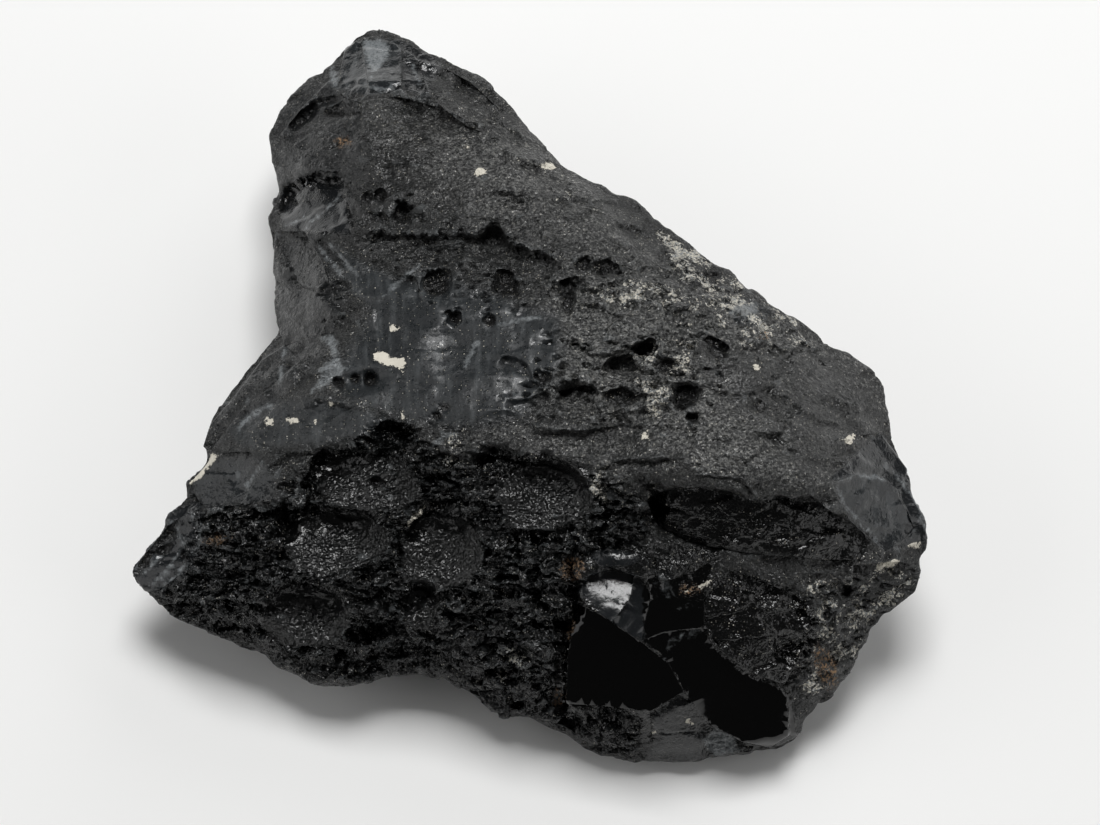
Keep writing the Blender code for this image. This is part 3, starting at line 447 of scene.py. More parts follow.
# Cracks: half width, depth and path.
CRACKS = (
    (0.42, 4., (
        (-39.0, 42.1), (-37.5, 43.6), (-36.3, 44.5), (-35.1, 45.8), (-33.6, 46.7), (-31.5, 47.2),
    )),
    (0.95, 2.6, (
        (-39.9, 29.2), (-39.4, 32.0), (-37.8, 33.8), (-35.2, 34.7), (-32.4, 34.9), (-30.8, 33.7),
    )),
    (0.6, 1.6, ((-20.7, 52.6), (-19.8, 50.5), (-18.9, 48.1))),
    (0.4, 1.2, ((-18.9, 52.0), (-17.1, 50.5), (-15.3, 48.7))),
    (0.5, 1.6, ((-6.8, 42.7), (-5.2, 41.5), (-3.9, 40.6))),
    (0.4, 1., ((21.0, 23.2), (18.3, 24.7), (16.5, 26.2))),
    (0.4, 1.2, ((14.7, 22.6), (17.7, 20.5), (20.7, 18.7))),
    (0.9, 4.2, (
        (3.8, -18.7), (3.4, -22.1), (3.3, -26.8), (3.3, -30.4), (1.9, -32.9), (1.3, -35.6),
        (0.9, -41.6), (0.9, -44.0), (3.0, -46.4), (4.8, -47.3),
    )),
    (0.55, 2.2, ((14.7, -15.8), (17.2, -17.6), (21.0, -19.3), (26.2, -20.5), (33.3, -21.2))),
    (0.5, 2., ((-5.4, -17.9), (-5.0, -20.6), (-4.3, -23.8))),
    (0.6, 1.8, ((-2.1, -17.6), (-1.8, -22.1), (-2.4, -25.1), (-2.7, -29.0))),
    (0.25, 0.45, ((-26.1, 15.7), (-25.8, 10.6))),
    (0.25, 0.4, ((-22.1, 46.6), (-22.3, 44.2), (-21.3, 42.1))),
    (0.35, 0.6, ((-2.2, 28.0), (-0.4, 28.7))),
    (0.3, 0.7, ((-51.1, -4.3), (-50.4, -5.6), (-49.2, -5.9))),
    (0.3, 0.4, ((-18.0, -14.0), (-19.8, -16.1))),
)

# Sharp crests: height, width and path.
CRESTS = (
    (0.5, 1.6, (
        (-0.1, 39.8), (9.6, 29.8), (11.7, 25.1), (17.7, 20.6), (22.5, 18.1), (28.5, 16.9), (36.0, 16.3),
    )),
    (0.4, 1., ((-22.5, 47.6), (-18.8, 47.2), (-16.5, 45.7), (-12.0, 42.8), (-7.5, 41.6), (-0.8, 40.1))),
    (0.4, 1., ((-28.2, 56.2), (-28.5, 52.9), (-27.6, 48.4))),
    (0.4, 1., ((-23.1, 55.9), (-22.5, 52.9), (-22.6, 48.4))),
    (0.4, 1.4, (
        (14.2, -9.2), (17.2, -11.3), (22.9, -10.4), (27.0, -11.2), (30.1, -12.7), (36.0, -12.4),
        (39.1, -11.9), (42.0, -14.3),
    )),
    (0.35, 0.5, ((1.8, -34.7), (1.5, -43.1))),
    (0.2, 0.4, ((22.5, -18.5), (27.0, -19.9), (33.0, -20.5))),
    (0.5, 1.4, ((3.8, 18.4), (9.0, 19.4), (15.0, 19.4), (21.0, 17.2))),
    (0.22, 0.4, ((-35.2, 25.1), (-30.8, 19.9))),
    (0.2, 0.35, ((-34.2, 25.7), (-29.7, 20.5))),
    (0.16, 0.3, ((17.7, -37.4), (18.3, -35.2), (20.1, -33.4), (22.5, -32.9), (24.1, -34.3))),
    (0.12, 0.25, ((19.1, -37.7), (19.8, -35.6), (21.3, -34.6), (23.1, -35.0))),
    (0.25, 0.35, ((15.0, -24.4), (17.7, -27.7))),
    (0.25, 0.3, ((16.2, -24.2), (18.6, -27.5))),
    (0.3, 0.8, ((-62.7, -23.9), (-58.5, -19.1), (-54.0, -14.9))),
    (0.3, 0.6, ((-58.5, -24.4), (-54.8, -19.1), (-53.7, -14.9))),
)

# Bubble bowls and pits: place, half width, half height, turn, depth, steepness, how far the deep side lies
# up and, where it isn't in the middle, how far across.
HOLLOWS = (
    ((-11.7, 47.2), 9.3, 3, -36, 1.49, 0.9, 0.2),
    ((-37.5, 39.4), 3.8, 4.5, 0, 0.69, 1, 0.2),
    ((1.5, 28.1), 5.2, 3.8, 0, 0.57, 1, 0.2),
    ((-13.5, 9.4), 6.8, 4.5, 10, 0.8, 1, 0.2),
    ((7.5, -4.1), 8.2, 3, 0, 0.57, 1, 0.2),
    ((25.5, 12.4), 6.8, 3.8, -25, 0.92, 1, 0.2),
    ((-18.0, 34.9), 6.8, 2.2, -10, 0.69, 1, 0.3),
    ((-37.5, 22.1), 2.6, 5.2, 0, 1.2, 0.8, 0),
    ((-25.5, 12.4), 4.5, 4.5, 0, 0.57, 1, 0),
    ((-32.1, 45.1), 1.9, 1.2, 10, 1.8, 0.5, 0.4),
    ((-30.0, 44.9), 0.9, 0.9, 0, 1, 0.5, 0.2),
    ((-31.2, 40.3), 1.6, 1.2, 0, 1, 0.6, 0.3),
    ((-32.1, 37.9), 4.3, 1.6, -5, 0.57, 1, 0.3),
    ((-35.1, 30.7), 5.4, 4, 0, 1.84, 0.9, 0.5),
    ((-27.4, 31.9), 0.9, 0.9, 0, 1.6, 0.5, 0.3),
    ((-25.3, 32.3), 1.1, 1, 0, 1.8, 0.5, 0.3),
    ((-22.1, 29.9), 1.9, 1.8, 0, 2.6, 0.5, 0.3),
    ((-25.8, 29.3), 1.6, 0.9, 0, 1.6, 0.5, 0.3),
    ((-29.7, 29.8), 0.8, 0.7, 0, 1.2, 0.5, 0.2),
    ((-21.8, 37.0), 0.6, 0.5, 0, 0.8, 0.5, 0.2),
    ((-17.1, 19.3), 2.3, 2.2, 0, 3, 0.5, 0.3),
    ((-14.2, 14.2), 1.1, 1, 0, 2.4, 0.4, 0.3),
    ((-6.9, 19.3), 2.2, 2, 0, 2.6, 0.5, 0.3),
    ((-9.0, 13.7), 1.1, 1, 0, 1.4, 0.5, 0.3),
    ((-5.2, 17.9), 0.9, 0.8, 0, 1, 0.5, 0.2),
    ((4.8, 22.1), 1.4, 1.2, 0, 1.8, 0.5, 0.3),
    ((7.9, 21.7), 1.7, 1.2, 0, 2, 0.5, 0.3),
    ((9.9, 21.4), 0.9, 0.7, 0, 1, 0.5, 0.2),
    ((2.7, 17.2), 1, 2.9, 0, 2, 0.6, 0.1),
    ((-29.2, 4.1), 4.6, 2.2, 14, 0.92, 0.7, 0.2),
    ((-31.5, 4.4), 0.9, 0.9, 0, 1.6, 0.5, 0.2),
    ((-27.0, 4.7), 1, 0.9, 0, 1.8, 0.5, 0.2),
    ((-29.2, 5.0), 0.8, 0.8, 0, 1.2, 0.5, 0.2),
    ((-16.9, -0.5), 0.7, 0.7, 0, 1, 0.5, 0.2),
    ((-15.8, 0.8), 1, 0.7, 0, 0.5, 0.6, 0),
    ((4.2, 2.2), 3.1, 2.4, 0, 3.2, 0.5, 0.4),
    ((-0.8, 5.2), 1.4, 0.9, 0, 1.6, 0.5, 0.3),
    ((10.8, 6.1), 3.3, 2.6, 0, 3.4, 0.5, 0.4),
    ((14.4, 9.4), 2.2, 1.5, 0, 2.8, 0.5, 0.4),
    ((10.8, 2.3), 2.9, 1.6, 0, 2.4, 0.5, 0.4),
    ((17.7, 6.7), 1.9, 1.3, 0, 1.8, 0.5, 0.3),
    ((20.2, 2.5), 2.2, 2.1, 0, 2.6, 0.5, 0.3),
    ((21.3, -1.0), 0.9, 0.9, 0, 1.8, 0.4, 0.3),
    ((25.1, 9.4), 1.8, 1.7, 0, 2, 0.5, 0.3),
    ((23.8, 10.6), 1, 0.9, 0, 1.2, 0.5, 0.3),
    ((32.2, 12.5), 1, 0.9, 0, 1.2, 0.5, 0.3),
    ((31.2, 1.1), 0.9, 0.8, 0, 1, 0.5, 0.3),
    ((40.2, 7.6), 0.9, 0.7, 0, 1, 0.5, 0.3),
    ((24.0, 19.7), 2.2, 1.6, 0, 1.4, 0.7, 0.2),
    ((-23.6, -5.3), 3.8, 3.8, 0, 2.3, 0.6, 0.5),
    ((-28.2, -10.4), 8.4, 5, 0, 2.3, 0.6, 0.8, 0.5),
    ((-32.1, -19.6), 8.1, 5.2, 5, 2.64, 0.6, 0.8, 0.4),
    ((-16.5, -20.9), 6.3, 6.6, 0, 2.76, 0.6, 0.8),
    ((-0.8, -12.7), 7.2, 5.7, -8, 2.64, 0.6, 0.8, 0.4),
    ((-36.9, -30.5), 6.8, 5.4, 0, 3.1, 0.6, 0.8, 0.3),
    ((-19.3, -29.0), 3, 3.9, 0, 2.76, 0.6, 0.8),
    ((-0.6, -6.4), 1, 0.8, 0, 1, 0.4, 0.2),
    ((-51.0, -18.2), 1.3, 1.1, 0, 2.8, 0.5, 0.2),
    ((-54.9, -21.5), 0.8, 0.7, 0, 1.2, 0.5, 0.2),
    ((-12.3, -28.7), 1.3, 1.1, 0, 2.4, 0.5, 0.3),
    ((-27.3, -33.2), 2.8, 1.4, 0, 2.8, 0.5, 0.3),
    ((-39.3, -11.3), 1.4, 1, 0, 1.2, 0.6, 0.2),
    ((-39.8, -16.1), 1.9, 3.4, 0, 2.4, 0.6, 0),
    ((-9.0, -7.1), 2.1, 2.1, 0, 3.2, 0.6, 0.2),
    ((-33.0, -8.6), 3, 1.5, -20, 1.15, 0.8, 0.3),
    ((-26.1, -10.7), 0.9, 1.2, 0, 1.6, 0.6, 0.2),
    ((44.7, -26.6), 1.2, 0.9, 0, 1.8, 0.5, 0.2),
    ((41.4, -29.8), 1, 1.4, 0, 1.8, 0.5, 0.2),
    ((3.4, -46.4), 1.4, 0.9, 0, 2.4, 0.5, 0.2),
    ((-5.1, -43.9), 1.2, 0.9, 0, 1.6, 0.6, 0.2),
    ((15.6, -13.9), 1.9, 3.8, 0, 3.2, 0.6, 0.2),
    ((-56.2, -20.3), 4.5, 4.5, 45, 0.92, 1, 0.1),
    ((-46.8, -10.4), 5.5, 4.3, 0, 0.69, 1, 0.2),
    ((36.0, -35.6), 2.1, 2.6, 0, 1.6, 0.6, 0.2),
    ((42.3, -36.8), 1.2, 1, 0, 1.8, 0.5, 0.2),
)

# Flake scars on the back and under the rim: place on the board, half width, half height, turn and depth.
BACK_SCARS = (
    ((20.0, 8.0), 13.0, 9.0, -35, 2.2), ((2.0, 24.0), 11.0, 8.0, -35, 1.8),
    ((40.0, -6.0), 9.0, 11.0, 10, 1.8), ((-30.0, 40.0), 8.0, 9.0, 20, 1.6),
    ((-44.0, -6.0), 9.0, 10.0, -20, 1.8), ((-36.0, 16.0), 8.0, 12.0, 0, 1.6),
)

# Swellings: place, half width, half height, turn and height.
LOBES = (
    ((-33.8, 18.4), 6.5, 5.5, 0, 1),
    ((-46.5, 4.1), 4, 6.5, -35, 1.2),
    ((9.3, -10.6), 2.4, 2.4, 0, 0.9),
    ((9.9, -21.8), 4.6, 1.3, 0, 1.1),
    ((21.0, -22.1), 3, 1.6, 10, 0.6),
    ((32.2, -32.6), 8, 7, 30, 1.2),
    ((18.0, -44.0), 5, 3, 30, 1.2),
    ((22.5, -49.1), 3.5, 1.5, 0, 0.5),
    ((39.8, -31.1), 2.5, 4, 0, 0.8),
    ((-27.0, -9.4), 3, 1.2, 0, 0.4),
    ((-30.8, -40.4), 4.5, 1.6, 0, 0.8),
    ((40.5, -42.4), 3, 3, 30, 1),
    ((3.8, -5.6), 5, 2, 0, 0.4),
    ((1.5, 37.9), 2, 1.2, 0, 0.4),
    ((3.0, -23.9), 1.9, 1.9, 0, 0.5),
)

# Finishes over areas: what it is, how strong, how soft its edge is, and its outline. The dark zones turn the
# colour toward black glass. In the recess under the ridge, in the left recess and on the upper walls of the
# bubble bowls they are painted shade. Elsewhere they darken the lobes, the lump below the recess and the
# glassy breaks.
ZONES = (
    ("crust", 1, 1, ((13.5, 4.1), (17.2, 4.9), (18.3, 0.4), (15.8, -2.6), (13.2, -1.9))),
    ("crust", 1, 1, ((17.7, 11.6), (22.5, 11.6), (22.5, 7.9), (18.3, 8.2))),
    ("crust", 1, 1, ((6.0, -7.4), (10.8, -7.4), (11.4, -13.1), (7.5, -14.0), (5.7, -11.6))),
    ("crust", 1, 1, (
        (3.3, 19.0), (9.0, 20.2), (15.8, 19.9), (22.5, 17.2), (27.0, 13.9), (22.5, 13.1), (15.0, 17.5),
        (7.5, 17.5),
    )),
    ("crust", 0.8, 1, ((-7.8, -34.1), (-3.9, -33.5), (-3.0, -38.3), (-6.8, -39.5))),
    ("crust", 1, 1.2, ((27.8, 13.9), (33.8, 14.2), (38.2, 10.1), (33.0, 7.9), (28.5, 9.4))),
    ("crust", 0.7, 1, ((-18.0, -2.6), (-12.0, -1.9), (-12.8, -5.6), (-18.0, -6.4))),
    ("waxy", 0.9, 3, (
        (-25.5, 18.4), (-18.0, 21.4), (-10.5, 18.4), (1.5, 14.6), (2.2, 7.9), (-4.5, -1.1),
        (-15.0, -2.6), (-22.5, -0.8), (-30.8, 1.9), (-33.0, 6.4), (-28.5, 12.4),
    )),
    ("waxy", 0.8, 1.5, (
        (-33.0, 25.9), (-28.5, 22.6), (-19.5, 19.1), (-18.0, 13.9), (-25.5, 13.9), (-30.0, 18.4),
    )),
    ("waxy", 0.7, 1.5, (
        (-48.8, -2.6), (-43.5, 1.9), (-33.0, 2.6), (-22.5, -0.8), (-25.5, -3.5), (-36.0, -5.3),
        (-46.5, -5.6),
    )),
    ("waxy", 0.5, 1, (
        (-54.0, -10.9), (-50.7, -6.8), (-43.2, -5.9), (-41.2, -9.4), (-43.2, -13.1), (-51.8, -14.3),
    )),
    ("waxy", 0.8, 0.5, ((-30.8, 55.9), (-22.2, 55.9), (-22.2, 48.1), (-27.8, 47.6), (-31.5, 48.4))),
    ("waxy", 0.6, 0.6, (
        (42.3, -10.1), (45.3, -9.2), (49.5, -8.6), (54.3, -16.1), (51.8, -20.0), (48.0, -18.5),
        (45.0, -15.5),
    )),
    ("waxy", 0.9, 0.8, ((25.8, 16.9), (29.2, 17.5), (33.3, 15.1), (31.5, 12.7), (27.8, 13.3))),
    ("dusty", 0.9, 5, (
        (13.5, 22.9), (25.5, 18.4), (42.0, 10.1), (50.2, 1.9), (51.0, -4.1), (43.5, -10.1),
        (22.5, -10.1), (13.5, -4.1), (1.5, 1.9), (-1.5, 16.9), (1.5, 21.4),
    )),
    ("dusty", 0.6, 4, (
        (-27.8, 46.9), (-12.0, 45.4), (1.5, 39.4), (13.5, 24.4), (1.5, 21.4), (-10.5, 27.4),
        (-27.8, 37.9),
    )),
    ("dusty", 0.6, 2, (
        (-18.0, -4.1), (-4.5, -1.9), (13.5, -4.1), (13.5, -10.1), (1.5, -8.6), (-7.5, -5.0),
        (-16.5, -6.4),
    )),
    ("pitted", 0.9, 2, (
        (-29.2, 27.7), (-18.0, 26.5), (-7.5, 27.1), (1.5, 23.6), (13.5, 22.6), (13.5, 19.1),
        (1.5, 18.4), (-4.5, 15.4), (-16.5, 13.9), (-22.5, 19.9), (-28.5, 23.6),
    )),
    ("pitted", 1, 2, (
        (-0.8, 12.4), (10.5, 11.6), (22.5, 13.9), (28.5, 10.9), (24.0, -1.1), (13.5, -2.6),
        (-4.5, -1.1), (-7.5, 1.9), (-3.0, 7.9),
    )),
    ("pitted", 0.6, 1, ((-28.5, 34.9), (-19.5, 33.4), (-18.0, 28.1), (-27.8, 28.1))),
    ("pitted", 0.7, 1.5, (
        (13.5, 22.6), (22.5, 18.4), (31.5, 13.9), (28.5, 9.4), (19.5, 13.9), (13.5, 18.4),
    )),
    ("pitted", 0.9, 1, (
        (37.5, -26.6), (48.0, -23.6), (54.0, -25.1), (48.0, -35.6), (42.0, -41.6), (36.8, -40.1),
    )),
    ("gloss", 0.5, 1.5, (
        (-41.2, 27.7), (-33.0, 26.5), (-30.0, 16.9), (-33.0, 7.9), (-43.2, -1.1), (-50.2, -6.4),
        (-51.8, -1.1), (-46.5, 4.9), (-41.2, 11.6),
    )),
    ("gloss", 0.85, 0.8, ((-40.2, 31.3), (-30.8, 32.5), (-29.7, 26.5), (-40.5, 27.7))),
    ("gloss", 0.75, 1, (
        (-52.6, -6.4), (-45.0, -5.9), (-41.2, -8.6), (-41.2, -13.1), (-46.5, -14.3), (-51.8, -14.9),
        (-54.0, -11.6),
    )),
    ("gloss", 0.9, 0.6, (
        (-63.3, -23.9), (-58.5, -17.6), (-56.7, -14.3), (-52.5, -13.1), (-51.6, -19.1), (-54.6, -24.4),
        (-58.5, -27.4), (-61.5, -26.9),
    )),
    ("gloss", 0.5, 2.5, (
        (-41.7, 46.9), (-33.0, 51.4), (-28.5, 48.4), (-27.0, 39.4), (-30.0, 25.9), (-42.0, 27.7),
        (-42.3, 39.4),
    )),
    ("gloss", 0.85, 0.5, ((-30.8, 55.9), (-22.2, 55.9), (-22.2, 48.1), (-27.8, 47.6), (-31.5, 48.4))),
    ("gloss", 0.8, 0.4, ((-22.2, 55.9), (-15.8, 52.6), (-18.3, 47.5), (-22.2, 48.1))),
    ("gloss", 0.3, 2, ((-27.8, 39.4), (-12.0, 40.1), (-7.5, 26.6), (-28.5, 26.6))),
    ("gloss", 0.9, 0.5, (
        (42.0, -9.8), (49.5, -2.6), (54.3, -8.6), (57.6, -19.1), (52.5, -20.6), (50.2, -20.9),
        (45.0, -16.1),
    )),
    ("gloss", 0.3, 2, ((35.2, 1.9), (45.0, 1.9), (48.0, -4.1), (42.8, -10.1), (37.5, -10.1))),
    ("gloss", 0.2, 2, ((-7.5, 25.9), (1.5, 34.9), (10.5, 29.6), (18.0, 20.6), (3.8, 16.9), (-4.5, 18.4))),
    ("fresh", 1, 0.3, (
        (2.4, -35.0), (3.9, -28.7), (7.5, -30.2), (13.5, -34.3), (17.7, -37.4), (20.1, -41.9),
        (15.0, -44.9), (7.5, -44.3), (1.5, -44.0),
    )),
    ("fresh", 1, 0.3, (
        (14.2, -34.1), (13.9, -28.1), (14.7, -23.6), (16.8, -25.4), (21.0, -24.2), (24.6, -22.1),
        (23.1, -26.6), (23.4, -32.3), (24.9, -35.6), (29.2, -38.9), (36.0, -42.2), (37.2, -49.4),
        (31.2, -51.2), (28.8, -49.4), (24.3, -47.3), (21.0, -43.1), (17.7, -37.4),
    )),
    ("gloss", 0.6, 0.4, (
        (15.0, -44.9), (20.1, -41.9), (24.3, -47.3), (22.5, -52.4), (16.5, -52.7), (12.9, -52.1),
        (15.8, -49.4),
    )),
    ("gloss", 1, 0.4, (
        (3.9, -26.6), (6.0, -24.1), (9.8, -23.6), (13.5, -24.5), (15.3, -28.1), (13.8, -34.4),
        (9.8, -32.3), (7.2, -29.9),
    )),
    ("gloss", 0.8, 0.5, ((5.0, -20.9), (8.2, -20.0), (14.4, -21.5), (12.0, -23.3), (7.5, -23.3))),
    ("painted_shade_and_dark_glass", 0.7, 1.2, (
        (-41.2, 26.6), (-36.3, 25.9), (-30.8, 18.4), (-32.2, 11.6), (-39.0, 10.1), (-41.7, 16.9),
    )),
    ("painted_shade_and_dark_glass", 0.8, 0.8, (
        (0.9, -22.1), (6.0, -19.9), (15.0, -19.1), (25.5, -19.9), (24.9, -28.1), (25.5, -35.6),
        (36.0, -41.6), (37.5, -49.4), (31.2, -51.5), (22.5, -52.4), (1.5, -46.1), (0.6, -34.1),
    )),
    # Painted shade in the recess under the ridge.
    ("painted_shade_and_dark_glass", 1, 1, (
        (13.5, -9.2), (17.2, -11.3), (22.9, -10.7), (30.1, -12.8), (36.0, -12.5), (42.0, -14.5),
        (48.0, -19.3), (46.5, -23.6), (37.5, -22.1), (33.0, -21.1), (25.5, -20.3), (19.5, -18.8),
        (15.0, -16.4),
    )),
    ("painted_shade_and_dark_glass", 1, 1, (
        (22.5, -26.9), (27.0, -23.0), (36.0, -25.9), (40.8, -29.9), (39.8, -35.6), (36.0, -41.6),
        (28.5, -38.3), (23.4, -34.1),
    )),
    # Painted shade in the left recess.
    ("painted_shade_and_dark_glass", 1, 0.6, (
        (-40.5, 33.4), (-37.8, 35.5), (-30.8, 35.5), (-28.9, 26.2), (-37.5, 26.8), (-40.8, 29.8),
    )),
    ("painted_shade_and_dark_glass", 0.45, 4, (
        (-39.6, 37.9), (-28.5, 45.4), (-18.0, 45.4), (-18.0, 36.4), (-28.5, 27.1), (-39.0, 35.5),
    )),
    ("painted_shade_and_dark_glass", 0.45, 2.5, (
        (22.5, 11.6), (31.5, 9.4), (41.2, 9.1), (49.5, 1.9), (50.7, -3.8), (45.0, -8.3), (37.5, -8.3),
        (29.2, -1.9), (23.2, 6.1),
    )),
    ("gloss", 0.35, 2.5, (
        (22.5, 11.6), (31.5, 9.4), (41.2, 9.1), (49.5, 1.9), (50.7, -3.8), (45.0, -8.3), (37.5, -8.3),
        (29.2, -1.9), (23.2, 6.1),
    )),
    ("rugged", 1, 1.4, (
        (-53.1, -14.9), (-46.5, -14.3), (-40.5, -13.1), (-37.5, -10.1), (-36.0, -6.4), (-30.8, -4.9),
        (-26.2, -2.3), (-21.0, -1.1), (-18.0, -5.6), (-12.0, -7.4), (-7.5, -5.0), (6.0, -9.2),
        (14.2, -13.1), (15.0, -19.1), (4.5, -22.1), (1.8, -34.1), (0.3, -46.1), (-7.5, -47.6),
        (-16.5, -43.1), (-28.5, -43.1), (-43.5, -38.6), (-55.5, -34.1), (-60.0, -28.1), (-54.8, -24.4),
    )),
    ("rugged", 0.9, 0.5, (
        (0.3, -44.9), (7.5, -44.9), (13.5, -46.4), (12.9, -52.7), (4.5, -50.6), (-0.8, -47.6),
    )),
    ("crust", 0.9, 1.6, (
        (36.0, -25.1), (48.0, -22.1), (55.5, -24.4), (53.2, -29.6), (48.0, -34.1), (45.8, -41.6),
        (41.2, -44.0), (36.9, -43.1), (35.1, -36.4), (39.3, -31.1),
    )),
    ("crust", 1.05, 1.2, (
        (15.8, 28.1), (22.3, 24.5), (30.3, 18.5), (38.4, 13.7), (41.9, 10.3), (36.0, 9.1), (22.5, 16.9),
        (17.1, 21.4),
    )),
    ("crust", 0.9, 1.6, (
        (11.2, 9.4), (18.0, 12.4), (22.5, 10.1), (21.0, 4.1), (17.2, -2.6), (13.5, -2.9), (12.3, 3.4),
    )),
    ("crust", 0.95, 1.6, (
        (3.0, 19.9), (13.5, 20.5), (22.5, 18.1), (28.5, 12.4), (21.0, 12.4), (13.5, 15.1), (4.5, 15.1),
    )),
    ("crust", 0.7, 1, (
        (-7.5, 31.9), (-3.0, 34.0), (1.5, 33.7), (8.2, 31.3), (7.5, 29.5), (-1.5, 31.9), (-6.8, 30.1),
    )),
    ("crust", 0.6, 1.2, ((5.4, -7.4), (12.0, -7.1), (14.2, -13.1), (7.5, -13.9))),
    ("crust", 0.6, 1.2, ((-18.0, -4.1), (-7.5, -4.1), (-7.5, -8.6), (-16.5, -10.1), (-18.8, -13.1))),
    ("crust", 0.6, 1, ((-42.8, -4.9), (-37.5, -5.3), (-37.5, -13.1), (-39.0, -14.6), (-40.5, -8.6))),
    ("crust", 0.6, 1.2, ((-12.0, -35.6), (-3.0, -34.1), (-4.5, -41.6), (-12.0, -43.1))),
    ("crust", 0.6, 1, ((-37.5, -37.9), (-27.0, -37.9), (-27.8, -41.6), (-36.0, -41.3))),
    ("crust", 0.4, 1.2, ((-52.5, -13.1), (-43.5, -13.9), (-46.5, -22.1), (-51.8, -22.1))),
    ("crust", 0.4, 1, ((15.0, -19.1), (25.5, -22.1), (22.5, -28.1), (16.5, -26.6))),
    ("crust", 0.3, 1.5, ((-33.0, -5.6), (-19.5, -7.1), (-22.5, -17.6), (-28.5, -13.1))),
    # The next six zones paint shade on the upper walls of the bubble bowls.
    ("painted_shade_and_dark_glass", 1, 0.7, (
        (-36.6, -7.7), (-35.1, -5.9), (-30.8, -5.0), (-26.1, -5.6), (-25.5, -7.7), (-30.0, -8.5),
        (-33.4, -9.4), (-34.5, -11.9), (-36.1, -11.0),
    )),
    ("painted_shade_and_dark_glass", 1, 0.7, (
        (-40.4, -20.3), (-40.4, -16.7), (-38.7, -14.3), (-33.0, -13.6), (-26.7, -14.3), (-23.7, -16.1),
        (-26.7, -17.6), (-32.2, -17.3), (-36.8, -18.2), (-38.4, -20.0),
    )),
    ("painted_shade_and_dark_glass", 1, 0.7, (
        (-21.9, -18.8), (-21.0, -14.9), (-17.1, -13.4), (-13.2, -14.3), (-10.5, -17.0), (-13.2, -18.2),
        (-16.5, -17.8), (-18.9, -18.8), (-20.6, -20.9),
    )),
    ("painted_shade_and_dark_glass", 1, 0.7, (
        (-8.7, -9.2), (-6.6, -6.5), (-0.8, -5.9), (4.5, -7.4), (7.0, -10.1), (4.5, -10.0), (-0.3, -8.6),
        (-3.9, -8.9), (-6.1, -10.4), (-7.3, -12.8),
    )),
    ("painted_shade_and_dark_glass", 1, 0.7, (
        (-44.1, -31.7), (-43.5, -27.8), (-39.9, -25.1), (-35.4, -24.7), (-31.2, -26.3), (-29.4, -29.0),
        (-31.8, -29.8), (-35.7, -28.1), (-39.3, -28.4), (-41.7, -30.4),
    )),
    ("painted_shade_and_dark_glass", 1, 0.5, (
        (-22.8, -29.0), (-21.9, -26.3), (-19.5, -25.3), (-17.4, -26.0), (-16.3, -28.4), (-18.3, -28.1),
        (-20.4, -28.4), (-21.3, -30.5),
    )),
    ("bowl", 1, 0.6, (
        (-35.9, -10.7), (-35.4, -8.3), (-32.5, -6.5), (-27.3, -5.9), (-22.2, -7.1), (-19.6, -9.7),
        (-19.5, -12.4), (-21.8, -14.6), (-27.0, -15.2), (-33.0, -14.3),
    )),
    ("bowl", 1, 0.6, (
        (-39.9, -20.0), (-39.4, -17.3), (-37.2, -15.5), (-32.7, -14.8), (-27.6, -15.2), (-24.4, -17.3),
        (-24.0, -20.0), (-26.8, -23.0), (-33.8, -24.7), (-38.4, -23.2),
    )),
    ("bowl", 1, 0.6, (
        (-22.3, -22.1), (-22.2, -18.4), (-20.6, -15.8), (-17.1, -14.8), (-13.0, -15.5), (-10.5, -18.4),
        (-9.8, -22.1), (-12.6, -26.0), (-17.8, -26.9), (-21.4, -25.3),
    )),
    ("bowl", 1, 0.6, (
        (-8.1, -13.1), (-7.5, -10.3), (-5.1, -8.0), (-0.6, -7.1), (3.9, -8.0), (6.3, -10.1),
        (6.8, -12.8), (5.1, -16.1), (-0.8, -18.1), (-6.0, -17.0),
    )),
    ("bowl", 1, 0.6, (
        (-43.4, -31.4), (-42.6, -28.4), (-39.8, -26.3), (-35.7, -25.7), (-31.8, -26.9), (-30.3, -29.3),
        (-30.0, -32.2), (-32.9, -35.0), (-39.1, -35.2), (-42.3, -33.7),
    )),
    ("bowl", 0.9, 0.5, (
        (-22.3, -29.9), (-21.9, -27.4), (-20.2, -25.7), (-18.0, -25.9), (-16.5, -28.0), (-16.8, -30.2),
        (-18.3, -32.8), (-21.0, -32.5),
    )),
)

